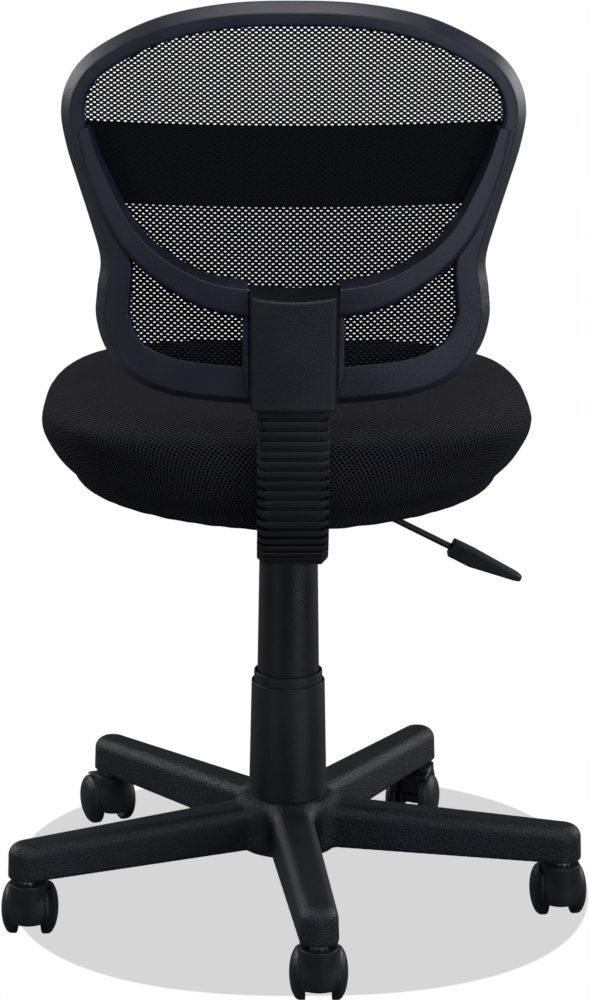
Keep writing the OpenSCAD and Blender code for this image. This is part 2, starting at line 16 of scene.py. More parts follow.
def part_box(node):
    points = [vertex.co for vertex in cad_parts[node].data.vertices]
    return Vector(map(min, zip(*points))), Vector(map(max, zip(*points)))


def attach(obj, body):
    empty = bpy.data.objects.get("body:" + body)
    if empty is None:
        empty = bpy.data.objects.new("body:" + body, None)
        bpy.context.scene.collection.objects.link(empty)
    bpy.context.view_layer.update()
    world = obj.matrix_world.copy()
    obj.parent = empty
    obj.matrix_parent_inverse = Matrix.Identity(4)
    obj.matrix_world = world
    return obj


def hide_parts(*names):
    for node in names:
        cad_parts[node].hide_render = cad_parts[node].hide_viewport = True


MM = 0.001
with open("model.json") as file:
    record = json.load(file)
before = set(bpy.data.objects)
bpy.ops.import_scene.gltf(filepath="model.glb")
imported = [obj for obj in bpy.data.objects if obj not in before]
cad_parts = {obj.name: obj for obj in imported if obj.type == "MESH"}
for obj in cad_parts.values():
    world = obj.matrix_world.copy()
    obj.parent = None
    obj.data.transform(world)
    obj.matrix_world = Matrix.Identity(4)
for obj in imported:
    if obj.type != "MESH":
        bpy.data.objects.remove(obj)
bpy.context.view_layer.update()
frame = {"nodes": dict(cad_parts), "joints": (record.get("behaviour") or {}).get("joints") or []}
joints = {j["name"]: j for j in frame["joints"]}


def size_mm(node):
    """Lowest and highest corner of a CAD node, in millimetres."""
    low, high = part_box(node)
    return np.array(low) / MM, np.array(high) / MM


# ---------- camera and light ----------

SENSOR = 36.0
FOCAL = 125.96
CAMERA_DISTANCE = 3.3604
CAMERA_TURN = math.radians(0.9)
CAMERA_RISE = math.radians(15.0)
CAMERA_ROLL = math.radians(0.2)
AIM = Vector((0, 0, 0.407))
SHIFT_X, SHIFT_Y = 0.0057, -0.001


def make_camera():
    out = Vector((
        math.cos(CAMERA_RISE) * math.sin(CAMERA_TURN),
        math.cos(CAMERA_RISE) * math.cos(CAMERA_TURN),
        math.sin(CAMERA_RISE),
    ))
    right = (-out).cross(Vector((0, 0, 1))).normalized()
    up = right.cross(-out)
    c, s = math.cos(CAMERA_ROLL), math.sin(CAMERA_ROLL)
    turned = Matrix((right * c + up * s, up * c - right * s, out)).transposed().to_4x4()
    data = bpy.data.cameras.new("camera")
    data.lens, data.sensor_width = FOCAL, SENSOR
    data.shift_x, data.shift_y = SHIFT_X, SHIFT_Y
    camera = bpy.data.objects.new("camera", data)
    camera.matrix_world = Matrix.Translation(AIM + out * CAMERA_DISTANCE) @ turned
    bpy.context.scene.collection.objects.link(camera)
    bpy.context.scene.camera = camera


def add_area(name, place, aim, size, power, tint=(1, 1, 1)):
    data = bpy.data.lights.new(name, "AREA")
    data.shape, data.size, data.size_y = "RECTANGLE", size[0], size[1]
    data.energy, data.color = power, tint
    light = bpy.data.objects.new(name, data)
    light.location = place
    light.rotation_mode = "QUATERNION"
    light.rotation_quaternion = (Vector(aim) - Vector(place)).to_track_quat("-Z", "Y")
    bpy.context.scene.collection.objects.link(light)


def make_light():
    add_area("key", (-0.3, 2.1, 2.3), (0, 0, 0.55), (1.7, 1.2), 27, (0.84, 0.88, 1.0))
    add_area("top", (0.0, 0.2, 2.9), (0, 0.1, 0.6), (1.5, 0.9), 23, (1.0, 0.97, 0.92))
    add_area("front", (2.4, -1.5, 1.5), (0, 0, 0.5), (1.3, 1.3), 30)
    add_area("front_low", (-2.4, -1.4, 1.1), (0, 0, 0.5), (1.3, 1.2), 26)
    add_area("low_right", (-1.7, 2.0, 0.45), (0, 0.2, 0.6), (1.1, 0.7), 10, (0.82, 0.85, 1.0))
    add_area("low_left", (1.8, 1.8, 0.5), (0, 0.2, 0.6), (0.9, 0.7), 4, (0.82, 0.86, 1.0))
    world = bpy.data.worlds.new("studio")
    world.use_nodes = True
    tree = world.node_tree
    dim = tree.nodes["Background"]
    dim.inputs["Color"].default_value, dim.inputs["Strength"].default_value = (0.9, 0.94, 1.0, 1), 0.11
    bright = tree.nodes.new("ShaderNodeBackground")
    bright.inputs["Color"].default_value = (1, 1, 1, 1)
    seen_or_lighting(tree, dim, bright, tree.nodes["World Output"])
    bpy.context.scene.world = world
    bpy.context.scene.view_settings.view_transform = "Standard"


def seen_or_lighting(tree, lighting, seen, output):
    """The plain backdrop is bright to look at, and lights the object less than it would."""
    path = tree.nodes.new("ShaderNodeLightPath")
    mix = tree.nodes.new("ShaderNodeMixShader")
    tree.links.new(path.outputs["Is Camera Ray"], mix.inputs[0])
    tree.links.new(lighting.outputs[0], mix.inputs[1])
    tree.links.new(seen.outputs[0], mix.inputs[2])
    tree.links.new(mix.outputs[0], output.inputs["Surface"])


# ---------- shader nodes ----------

# ---------- materials ----------

def linear(hex_colour):
    """Linear RGBA of an sRGB colour such as "#20212a"."""
    parts = [int(hex_colour[i:i + 2], 16) / 255 for i in (1, 3, 5)]
    return [p / 12.92 if p <= 0.04045 else ((p + 0.055) / 1.055) ** 2.4 for p in parts] + [1.0]


class Shader:
    """A material under construction: makes nodes and links them by name."""

    def __init__(self, name, **sockets):
        self.material = bpy.data.materials.new(name)
        self.material.use_nodes = True
        self.tree = self.material.node_tree
        self.principled = self.tree.nodes["Principled BSDF"]
        for socket, value in sockets.items():
            self.principled.inputs[socket.replace("_", " ")].default_value = value

    def node(self, kind, settings=None, **inputs):
        made = self.tree.nodes.new(kind)
        for key, value in (settings or {}).items():
            setattr(made, key, value)
        for key, value in inputs.items():
            self.feed(made.inputs[int(key[1:]) if key[1:].isdigit() else key.replace("_", " ")], value)
        return made

    def feed(self, socket, value):
        if isinstance(value, bpy.types.NodeSocket):
            self.tree.links.new(value, socket)
        else:
            socket.default_value = value

    def place(self):
        """The piece's own coordinates, in metres of the frame."""
        return self.node("ShaderNodeTexCoord").outputs["Object"]

    def math(self, operation, a, b=0.0, c=0.0):
        return self.node("ShaderNodeMath", {"operation": operation}, i0=a, i1=b, i2=c).outputs[0]

    def vector(self, operation, a, b=(0, 0, 0)):
        made = self.node("ShaderNodeVectorMath", {"operation": operation}, i0=a, i1=b)
        return made.outputs["Value"] if operation in ("LENGTH", "DOT_PRODUCT") else made.outputs[0]

    def spread(self, value, low, high, to_low=0.0, to_high=1.0):
        """value taken from low..high to to_low..to_high, with soft ends."""
        made = self.node("ShaderNodeMapRange", {"interpolation_type": "SMOOTHSTEP"}, Value=value)
        for key, number in (("From Min", low), ("From Max", high), ("To Min", to_low), ("To Max", to_high)):
            made.inputs[key].default_value = number
        return made.outputs["Result"]

    def noise(self, where, scale, detail=2.0, roughness=0.5):
        return self.node("ShaderNodeTexNoise", Vector=where, Scale=scale, Detail=detail,
                         Roughness=roughness).outputs["Fac"]

    def pebbles(self, where, scale):
        return self.node("ShaderNodeTexVoronoi", {"feature": "SMOOTH_F1"}, Vector=where,
                         Scale=scale).outputs["Distance"]

    def mix(self, share, a, b):
        made = self.node("ShaderNodeMix", {"data_type": "RGBA"})
        for index, value in ((0, share), (6, a), (7, b)):
            self.feed(made.inputs[index], value)
        return made.outputs[2]

    def bump(self, height, depth, strength=1.0, before=None):
        made = self.node("ShaderNodeBump", Strength=strength, Distance=depth, Height=height)
        if before is not None:
            self.feed(made.inputs["Normal"], before)
        return made.outputs["Normal"]

    def set(self, **sockets):
        for socket, value in sockets.items():
            self.feed(self.principled.inputs[socket.replace("_", " ")], value)
        return self.material


def moulded(name, colour, worn, roughness, grain, grain_depth):
    """Moulded plastic: pebble grain of that size in metres, faint flow marks and rubbed high spots."""
    s = Shader(name, Specular_IOR_Level=0.5)
    where = s.place()
    pebble = s.pebbles(where, 1 / grain)
    fine = s.noise(where, 2.6 / grain, 2.0)
    cloud = s.noise(where, 16.0, 3.0)
    height = s.math("ADD", pebble, s.math("MULTIPLY", fine, 0.55))
    tone = s.mix(s.spread(cloud, 0.35, 0.68), linear(colour), linear(worn))
    shine = s.math("ADD", s.spread(cloud, 0.3, 0.7, roughness - 0.05, roughness + 0.06),
                   s.math("MULTIPLY", fine, 0.06))
    return s.set(Base_Color=tone, Roughness=shine, Normal=s.bump(height, grain_depth))


def painted_steel(name):
    """Powder-coated steel with orange peel."""
    s = Shader(name, Specular_IOR_Level=0.5)
    where = s.place()
    peel = s.noise(where, 900.0, 2.0)
    cloud = s.noise(where, 22.0, 2.0)
    tone = s.mix(s.spread(cloud, 0.3, 0.7), linear("#16161b"), linear("#1e1e24"))
    return s.set(Base_Color=tone, Roughness=s.spread(peel, 0.2, 0.8, 0.34, 0.48),
                 Normal=s.bump(peel, 0.00008))


def plated_steel(name):
    """Zinc-plated steel: fine drawing lines, and a patchy passivated tint."""
    s = Shader(name, Metallic=1.0)
    where = s.place()
    lines = s.noise(s.vector("MULTIPLY", where, (400.0, 400.0, 5200.0)), 1.0, 2.0)
    cloud = s.noise(where, 60.0, 2.0)
    tone = s.mix(s.spread(cloud, 0.3, 0.7), linear("#a9abae"), linear("#c2bfb4"))
    return s.set(Base_Color=tone, Roughness=s.spread(lines, 0.2, 0.8, 0.28, 0.42),
                 Normal=s.bump(lines, 0.00002))


def plywood(name):
    """Plywood: plies across its thickness and long grain on its faces."""
    s = Shader(name)
    where = s.place()
    grain = s.noise(s.vector("MULTIPLY", where, (14.0, 160.0, 160.0)), 1.0, 4.0)
    height = s.node("ShaderNodeSeparateXYZ", Vector=where).outputs["Z"]
    plies = s.math("FRACT", s.math("MULTIPLY", height, 620.0))
    tone = s.mix(s.spread(grain, 0.35, 0.65), linear("#a9825a"), linear("#d0ad7c"))
    tone = s.mix(s.spread(plies, 0.42, 0.58, 0.0, 0.3), tone, linear("#6e4d2f"))
    return s.set(Base_Color=tone, Roughness=s.spread(grain, 0.3, 0.7, 0.6, 0.8), Normal=s.bump(grain, 0.0002))


def spacer_fabric(name):
    """Knitted spacer cloth: rows of small oval holes, set between each other, in thick knit. The holes are
    real, and their near-black colour is painted shade down inside them.
    """
    s = Shader(name, Sheen_Weight=0.02, Sheen_Roughness=0.4, Specular_IOR_Level=0.03)
    cloth = s.node("ShaderNodeAttribute", {"attribute_name": "cloth"}).outputs["Vector"]
    wander = s.node("ShaderNodeTexNoise", Vector=cloth, Scale=60.0, Detail=1.0).outputs["Color"]
    cloth = s.vector("ADD", cloth, s.vector("MULTIPLY", s.vector("SUBTRACT", wander, (0.5, 0.5, 0.5)),
                                            (0.0012, 0.0012, 0)))
    cell = s.vector("DIVIDE", cloth, (HOLE_PITCH * MM, HOLE_ROW * MM * 2, 1))
    holes = []
    for offset in ((0, 0, 0), (0.5, 0.5, 0)):
        inside = s.vector("FRACTION", s.vector("ADD", cell, offset))
        inside = s.vector("MULTIPLY", s.vector("SUBTRACT", inside, (0.5, 0.5, 0)), (1, 1.25, 0))
        holes.append(s.vector("LENGTH", inside))
    from_hole = s.math("MINIMUM", holes[0], holes[1])
    solid = s.spread(from_hole, 0.2, 0.36)
    yarn = s.noise(cloth, 1500.0, 2.0)
    height = s.math("ADD", s.math("MULTIPLY", solid, 1.0), s.math("MULTIPLY", yarn, 0.22))
    tone = s.mix(s.spread(yarn, 0.3, 0.7), linear("#1d1d21"), linear("#44444c"))
    # painted shade: where solid falls to 0, in a hole, the colour goes near-black for the shade inside it
    tone = s.mix(solid, linear("#020203"), tone)
    return s.set(Base_Color=tone, Roughness=s.spread(yarn, 0.2, 0.8, 0.72, 0.92),
                 Normal=s.bump(height, 0.0011))


def woven(name, dark, light, thread, roughness=0.8, sheen=0.1):
    """Plain weave of that thread size in metres, over the piece's own X and Z or Y."""
    s = Shader(name, Sheen_Weight=sheen, Sheen_Roughness=0.4, Specular_IOR_Level=0.3)
    where = s.place()
    parts = s.node("ShaderNodeSeparateXYZ", Vector=where)
    turn = 2 * math.pi / thread
    across = s.math("SINE", s.math("MULTIPLY", parts.outputs["X"], turn))
    along = s.math("SINE", s.math("MULTIPLY", s.math("ADD", parts.outputs["Z"], parts.outputs["Y"]), turn))
    weave = s.math("MULTIPLY", across, along)
    fuzz = s.noise(where, 2500.0, 2.0)
    tone = s.mix(s.spread(weave, -0.6, 0.8), linear(dark), linear(light))
    height = s.math("ADD", weave, s.math("MULTIPLY", fuzz, 0.6))
    return s.set(Base_Color=tone, Roughness=s.spread(fuzz, 0.2, 0.8, roughness - 0.08, roughness + 0.08),
                 Normal=s.bump(height, 0.00018))


def felt(name):
    """Non-woven dust cloth: pressed fibres with a grid of bonded dots."""
    s = Shader(name, Sheen_Weight=0.1, Specular_IOR_Level=0.2)
    where = s.place()
    fibres = s.noise(where, 1400.0, 4.0, 0.7)
    dots = s.vector("LENGTH", s.vector("MULTIPLY", s.vector("SUBTRACT", s.vector(
        "FRACTION", s.vector("MULTIPLY", where, (420.0, 420.0, 0.0))), (0.5, 0.5, 0.0)), (1, 1, 0)))
    bonded = s.spread(dots, 0.12, 0.26)
    tone = s.mix(s.spread(fibres, 0.35, 0.65), linear("#0f0f10"), linear("#1e1e20"))
    tone = s.mix(bonded, linear("#0a0a0b"), tone)
    height = s.math("ADD", s.math("MULTIPLY", bonded, 0.7), fibres)
    return s.set(Base_Color=tone, Roughness=s.spread(fibres, 0.2, 0.8, 0.8, 0.95),
                 Normal=s.bump(height, 0.00025))


# ---------- meshes ----------

def spline(points, steps, closed=False):
    """Catmull-Rom curve through points, with that many steps from each to the next."""
    p = np.asarray(points, float)
    ends = (p[-1:], p[:2]) if closed else (p[:1], p[-1:])
    padded = np.vstack([ends[0], p, ends[1]])
    t = np.linspace(0, 1, steps, endpoint=False)[:, None]
    rows = []
    for a, b, c, d in zip(padded, padded[1:], padded[2:], padded[3:]):
        rows.append(0.5 * (2 * b + (c - a) * t + (2 * a - 5 * b + 4 * c - d) * t**2
                           + (3 * b - a - 3 * c + d) * t**3))
    return np.vstack(rows if closed else rows + [p[-1:]])


def unit(v):
    return v / np.linalg.norm(v, axis=-1, keepdims=True)


def rounded(corners, radii, steps=4, closed=True):
    """A polygon whose corners are arcs of those radii, each as large as its sides allow."""
    p = np.asarray(corners, float)
    radii = np.broadcast_to(radii, len(p))
    out = []
    for i in range(len(p)):
        if not closed and i in (0, len(p) - 1):
            out.append(p[i])
            continue
        to_a, to_b = p[i - 1] - p[i], p[(i + 1) % len(p)] - p[i]
        len_a, len_b = np.linalg.norm(to_a), np.linalg.norm(to_b)
        to_a, to_b = to_a / len_a, to_b / len_b
        half = math.acos(np.clip(to_a @ to_b, -1, 1)) / 2
        cut = min(radii[i] / max(math.tan(half), 1e-6), 0.48 * len_a, 0.48 * len_b)
        start, end = p[i] + to_a * cut, p[i] + to_b * cut
        sweep = math.pi - 2 * half
        if sweep < 1e-3:
            out.extend(start + (end - start) * k / steps for k in range(steps + 1))
            continue
        centre = p[i] + unit(to_a + to_b) * cut / math.cos(half)
        for k in range(steps + 1):
            t = k / steps
            out.append(centre + (math.sin((1 - t) * sweep) * (start - centre)
                                 + math.sin(t * sweep) * (end - centre)) / math.sin(sweep))
    return np.array(out)


def tube(rings, closed=False):
    """Points and faces of a skin through rings of points; it is capped unless it closes on itself."""
    rings = np.asarray(rings, float)
    n, m = rings.shape[:2]
    i = np.arange(n if closed else n - 1)[:, None]
    j = np.arange(m)[None, :]
    i2, j2 = (i + 1) % n, (j + 1) % m
    faces = np.stack([i * m + j, i * m + j2, i2 * m + j2, i2 * m + j], -1).reshape(-1, 4).tolist()
    if not closed:
        faces += [list(range(m))[::-1], list(range((n - 1) * m, n * m))]
    return rings.reshape(-1, 3), faces


def lathe(profile, segments=128):
    """A closed outline of (radius, height) turned round the Z axis."""
    turn = np.linspace(0, 2 * math.pi, segments, endpoint=False)[:, None]
    r, z = np.asarray(profile, float).T
    return tube(np.stack([r * np.cos(turn), r * np.sin(turn), z + 0 * turn], -1), closed=True)


def joined(parts):
    """Several (points, faces) as one."""
    points, faces, count = [], [], 0
    for p, f in parts:
        points.append(p)
        faces.extend([[k + count for k in face] for face in f])
        count += len(p)
    return np.vstack(points), faces


def round_cut(a, b, r):
    """Both solids' common part, with an edge of radius r. Fields are below zero inside."""
    return np.minimum(np.maximum(a, b), -r) + np.hypot(np.maximum(a + r, 0), np.maximum(b + r, 0))


def round_join(a, b, r):
    """Two solids together, with a fillet of radius r between them."""
    return np.maximum(np.minimum(a, b), r) - np.hypot(np.maximum(r - a, 0), np.maximum(r - b, 0))


def surface_of(field, low, high, step, settle=2):
    """Points and quads of the surface where field(x, y, z) is zero, within a box in steps."""
    axes = [np.arange(a, b + step, step) for a, b in zip(low, high)]
    grid = np.stack(np.meshgrid(*axes, indexing="ij"), -1)
    values = field(*np.moveaxis(grid, -1, 0))
    shape = values.shape
    total, count, quads = [np.zeros(values.size) for _ in range(3)], np.zeros(values.size), []
    for axis in range(3):
        a = values[tuple(slice(0, -1) if k == axis else slice(None) for k in range(3))]
        b = values[tuple(slice(1, None) if k == axis else slice(None) for k in range(3))]
        crossed = (a < 0) != (b < 0)
        index = np.argwhere(crossed)
        outwards = a[crossed] < 0
        place = np.array(low) + index * step
        place[:, axis] += a[crossed] / (a[crossed] - b[crossed]) * step
        first, second = [k for k in range(3) if k != axis]
        cells = []
        for d1, d2 in ((0, 0), (1, 0), (1, 1), (0, 1)):
            cell = index.copy()
            cell[:, first] -= d1
            cell[:, second] -= d2
            flat = np.ravel_multi_index(cell.T, shape)
            cells.append(flat)
            count += np.bincount(flat, minlength=values.size)
            for k in range(3):
                total[k] += np.bincount(flat, place[:, k], values.size)
        quad = np.stack(cells, -1)
        flip = outwards == (axis == 1)
        quad[flip] = quad[flip][:, ::-1]
        quads.append(quad)
    used = np.flatnonzero(count)
    number = np.zeros(values.size, int)
    number[used] = np.arange(len(used))
    points = np.stack([t[used] / count[used] for t in total], -1)
    for _ in range(settle):
        off = field(*points.T)
        slope = np.stack([
            (field(*(points + d).T) - field(*(points - d).T)) / 0.1 for d in np.eye(3) * 0.05
        ], -1)
        move = slope * (off / np.maximum((slope**2).sum(-1), 0.2))[:, None]
        points -= np.clip(move, -step, step)
    return points, number[np.vstack(quads)].tolist()


def link_mesh(name, points, faces, material=None, sharp=40):
    mesh = bpy.data.meshes.new(name)
    mesh.from_pydata((np.asarray(points) * MM).tolist(), [], faces)
    shaper = bmesh.new()
    shaper.from_mesh(mesh)
    bmesh.ops.remove_doubles(shaper, verts=shaper.verts, dist=1e-6)
    bmesh.ops.recalc_face_normals(shaper, faces=shaper.faces)
    shaper.to_mesh(mesh)
    shaper.free()
    finish_mesh(mesh, material, sharp)
    obj = bpy.data.objects.new(name, mesh)
    bpy.context.scene.collection.objects.link(obj)
    return obj


def finish_mesh(mesh, material, sharp):
    if material is not None:
        mesh.materials.clear()
        mesh.materials.append(material)
    mesh.shade_smooth()
    mesh.set_sharp_from_angle(angle=math.radians(sharp))


def seat_in(obj, body, slot, *replaced):
    """obj rides on body, and stands for the replaced CAD nodes, which it hides. slot is not used."""
    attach(obj, body)
    if replaced:
        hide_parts(*replaced)
    return obj


def add_piece(name, shape, material, body, slot, *replaced, sharp=40):
    return seat_in(link_mesh(name, *shape, material, sharp), body, slot, *replaced)


def points_of(obj):
    """A mesh's points in millimetres."""
    return np.array([v.co for v in obj.data.vertices]) / MM


def move_points(obj, points):
    obj.data.vertices.foreach_set("co", (points * MM).ravel())
    obj.data.update()


def with_modifiers(obj, material, sharp=40):
    """obj's mesh with its modifiers applied."""
    bpy.context.view_layer.update()
    seen = obj.evaluated_get(bpy.context.evaluated_depsgraph_get())
    mesh = bpy.data.meshes.new_from_object(seen)
    obj.modifiers.clear()
    obj.data = mesh
    finish_mesh(mesh, material, sharp)
    return obj


def combine(obj, other, operation):
    """Joins other to obj, or takes it away, and removes it."""
    step = obj.modifiers.new(operation.lower(), "BOOLEAN")
    step.object, step.operation, step.solver = other, operation, "EXACT"
    bpy.context.view_layer.update()
    mesh = bpy.data.meshes.new_from_object(obj.evaluated_get(bpy.context.evaluated_depsgraph_get()))
    obj.modifiers.clear()
    obj.data = mesh
    bpy.data.objects.remove(other)


# ---------- base ----------

STEM_CIRCLE = math.hypot(*joints["caster_swivel_1"]["pos_m"][:2]) / MM
BASE_TURN = math.atan2(-joints["caster_swivel_1"]["pos_m"][0], joints["caster_swivel_1"]["pos_m"][1])
ARM_STEP = 2 * math.pi / 5
HUB_LOW, HUB_TOP = size_mm("star_base")[0][2], size_mm("star_base")[1][2]
HUB_R = 46.0
TUBE_R = size_mm("gas_outer_tube")[1][0]
STEM_R = 5.5
STEM_TOP = size_mm("caster_stem_1")[1][2]
ARM_HALF_HUB, ARM_HALF_TIP = 21.0, 18.0
ARM_TOP_HUB, ARM_TOP_TIP = HUB_TOP - 4.5, 97.0
ARM_LOW = 63.0
ARM_EDGE_R = 11.0
ARM_WALL = 4.5
ARM_ROOT_Y = 40.0
POCKET_START, POCKET_END, POCKET_TOP = 56.0, 254.0, 84.0
RIB_EVERY, RIB_HALF = 40.0, 1.9


def turned(x, y, angle):
    """x and y in axes turned by angle, so that an arm at that angle lies along +y."""
    return x * np.cos(angle) + y * np.sin(angle), y * np.cos(angle) - x * np.sin(angle)


def arm_measures(x, y, z):
    """Distances outside an arm's plan and top, for an arm along +y."""
    t = np.clip((y - ARM_ROOT_Y) / (STEM_CIRCLE - ARM_ROOT_Y), 0, 1)
    half = ARM_HALF_HUB + (ARM_HALF_TIP - ARM_HALF_HUB) * t
    plan = np.where(y > STEM_CIRCLE, np.hypot(x, y - STEM_CIRCLE) - ARM_HALF_TIP, np.abs(x) - half)
    plan = plan - 1.2 * (1 - np.clip((z - ARM_LOW) / 34, 0, 1)) + 0.6
    top = z - (ARM_TOP_HUB + (ARM_TOP_TIP - ARM_TOP_HUB) * (y - 56) / (STEM_CIRCLE - 46))
    top = top + np.where(np.abs(y - 150) < 200, 0.0016 * x * x, 0)
    return np.maximum(plan, -y), top


def arm_solid(x, y, z):
    plan, top = arm_measures(x, y, z)
    return round_cut(round_cut(plan, top, ARM_EDGE_R), ARM_LOW - z, 1.5)


def arm_pocket(x, y, z):
    """The two channels under an arm, crossed by ribs and kept off the caster's boss."""
    plan, top = arm_measures(x, y, z)
    channel = np.maximum.reduce([plan + ARM_WALL, 2.0 - np.abs(x), POCKET_START - y, y - POCKET_END,
                                 top + ARM_WALL + 3, z - POCKET_TOP])
    beside = np.abs((y - POCKET_START + 6) % RIB_EVERY - RIB_EVERY / 2)
    return np.maximum(channel, RIB_HALF - beside)


def base_field(x, y, z):
    angle = np.arctan2(-x, y) - BASE_TURN
    nearest = np.round(angle / ARM_STEP) * ARM_STEP + BASE_TURN
    ax, ay = turned(x, y, nearest)
    bx, by = turned(ax, ay, -ARM_STEP * np.where(ax > 0, 1, -1))
    arms = round_join(arm_solid(ax, ay, z), arm_solid(bx, by, z), 14)
    r = np.hypot(x, y)
    hub = round_cut(round_cut(r - HUB_R, z - HUB_TOP, 8), HUB_LOW - z, 1.5)
    solid = np.maximum(round_join(arms, hub, 12), TUBE_R + 0.1 - r)
    solid = np.maximum(solid, -arm_pocket(ax, ay, z))
    stem_hole = np.maximum(np.hypot(ax, ay - STEM_CIRCLE) - STEM_R - 0.15, z - STEM_TOP - 0.4)
    return np.maximum(solid, -stem_hole)


# ---------- casters ----------

AXLE_Z = joints["left_wheel_spin_1"]["pos_m"][2] / MM
WHEEL_R = AXLE_Z
TRAIL = math.dist(joints["caster_swivel_1"]["pos_m"][:2], joints["left_wheel_spin_1"]["pos_m"][:2]) / MM
WHEEL_IN, TREAD_OUT, WHEEL_OUT = 12.2, 17.5, 27.25
HOOD_HALF, HOOD_R = 18.0, WHEEL_R + 3
HOOD_INNER_R, AXLE_BOSS_R, AXLE_HOLE_R = 24.5, 6.5, 3.1
HOOD_LOW, HOOD_TOP = size_mm("caster_hood_1")[0][2], size_mm("caster_hood_1")[1][2]


def smooth_step(t):
    t = np.clip(t, 0, 1)
    return t * t * (3 - 2 * t)


def hood_field(x, y, z):
    """A caster's hood, with its stem on the Z axis and its wheels towards -Y."""
    radial = np.hypot(y + TRAIL, z - AXLE_Z)
    half = HOOD_HALF - 5.2 * smooth_step((31 - z) / 24)
    barrel = radial - HOOD_R
    collar = np.maximum(np.hypot(x, y) - HOOD_HALF, AXLE_Z - 6 - z)
    shape = round_join(barrel, collar, 7)
    shape = round_cut(shape, np.abs(x) - half, 2.2)
    shape = round_cut(shape, z - HOOD_TOP, 1.0)
    shape = round_cut(shape, HOOD_LOW + 0.02 * x * x - z, 2.0)
    shape = round_cut(shape, -(y + TRAIL + 12), 1.5)
    wheel = np.maximum(radial - WHEEL_R - 0.7, WHEEL_IN - 0.4 - np.abs(x))
    shape = np.maximum(shape, -wheel)
    hollow = np.maximum.reduce([np.abs(x) - 8.6, radial - HOOD_INNER_R, z - 33, AXLE_BOSS_R - radial,
                                8.5 - np.hypot(x, y)])
    shape = np.maximum(shape, -hollow)
    shape = np.maximum(shape, AXLE_HOLE_R - radial)
    return np.maximum(shape, -np.maximum(np.hypot(x, y) - STEM_R - 0.1, 36 - z))


def wheel_profile():
    """From the hub's inner face, round the tread, to the crown of the domed outer face."""
    dome = [
        (WHEEL_R * math.cos(a), TREAD_OUT + (WHEEL_OUT - TREAD_OUT) * math.sin(a))
        for a in np.linspace(0, math.pi / 2, 34)
    ]
    dome = [(r, h - 0.4 * math.exp(-((r - 20.6) / 0.45) ** 2)) for r, h in dome]
    inner = rounded([(8, WHEEL_IN), (8, WHEEL_IN + 2.4), (21, WHEEL_IN + 2.4), (22, WHEEL_IN),
                     (WHEEL_R, WHEEL_IN), (WHEEL_R, TREAD_OUT)], 1.1, 4, closed=False)
    return [(0.0, WHEEL_IN)] + [tuple(p) for p in inner[:-1]] + dome


def wheel_shape(side):
    """A wheel about the X axis through the origin, on that side of its caster."""
    turn = np.linspace(0, 2 * math.pi, 96, endpoint=False)[:, None]
    r, h = np.array(wheel_profile()).T
    rings = np.stack([side * h + 0 * turn, r * np.cos(turn), r * np.sin(turn)], -1)
    points, faces = tube(rings, closed=True)
    m = rings.shape[1]
    faces = [f for f in faces if not (f[0] % m == m - 1 or f[1] % m == 0)]
    return points, faces


def caster_matrix(i):
    """Puts a caster drawn with its stem on the Z axis in its place."""
    stem = Vector(joints[f"caster_swivel_{i}"]["pos_m"])
    axle = Vector(joints[f"left_wheel_spin_{i}"]["axis"])
    return Matrix.Translation((stem.x, stem.y, 0)) @ Matrix.Rotation(math.atan2(axle.y, axle.x), 4, "Z")


def place_copy(name, pattern, matrix):
    obj = bpy.data.objects.new(name, pattern.data)
    obj.matrix_world = matrix
    bpy.context.scene.collection.objects.link(obj)
    return obj


def make_casters(nylon):
    hood = surface_of(hood_field, (-20.5, -47, HOOD_LOW - 4), (20.5, 21, HOOD_TOP + 3), 0.9)
    hood_mesh = link_mesh("hood_pattern", *hood, nylon, 50)
    on_axle = Matrix.Translation((0, -TRAIL * MM, AXLE_Z * MM))
    wheel_meshes = {
        side: link_mesh(f"wheel_pattern_{side}", *wheel_shape(sign), nylon, 35)
        for side, sign in (("left", -1), ("right", 1))
    }
    for i in range(1, 6):
        place = caster_matrix(i)
        hood = place_copy(f"moulded_hood_{i}", hood_mesh, place)
        seat_in(hood, f"caster_{i}", "caster_nylon", f"caster_hood_{i}")
        for side, pattern in wheel_meshes.items():
            wheel = place_copy(f"domed_wheel_{side}_{i}", pattern, place @ on_axle)
            seat_in(wheel, f"{side}_wheel_{i}", "caster_nylon", f"wheel_{side}_{i}")
    for pattern in [hood_mesh, *wheel_meshes.values()]:
        bpy.data.objects.remove(pattern)


# ---------- covers of the gas lift ----------

def cover_size(node):
    """Lowest and highest level of one of the round covers of the gas lift, and its radius."""
    low, high = size_mm(node)
    return low[2], high[2], high[0]


def make_covers(plastic):
    foot, top, r = cover_size("cover_lower")
    add_piece("column_cover_lower", lathe(rounded([
        (r, foot), (r, foot + 3), (r - 2.4, top), (r - 4.1, top), (r - 4.1, top - 4), (r - 2, foot)],
        [0.6, 1, 0.7, 0.4, 0.5, 0.4])),
        plastic, "base", "cover_plastic", "cover_lower")
    foot, top, r = cover_size("cover_middle")
    add_piece("column_cover_middle", lathe(rounded([
        (r, foot), (r, top), (r - 1.6, top), (r - 1.6, foot)], [0.3, 0.8, 0.5, 0.3])),
        plastic, "middle_cover", "cover_plastic", "cover_middle")
    foot, top, r = cover_size("cover_upper")
    add_piece("column_cover_upper", lathe(rounded([
        (r, foot), (r, foot + 4), (r - 1, foot + 6), (28, top - 1.2), (27, top), (14.1, top),
        (14.1, top - 2), (26.4, top - 2), (28.4, foot)], [0.3, 0.5, 0.5, 0.8, 0.8, 0.3, 0.3, 0.3, 0.3])),
        plastic, "seat", "cover_plastic", "cover_upper")


# ---------- lever ----------

LEVER_Z = joints["lever_lift"]["pos_m"][2] / MM
LEVER_BEND_X = -44.0
LEVER_SLOPE = math.radians(27)
LEVER_RUN = 144.0
ROD_R = 3.2
HANDLE_START, HANDLE_LEN = 126.0, 76.0


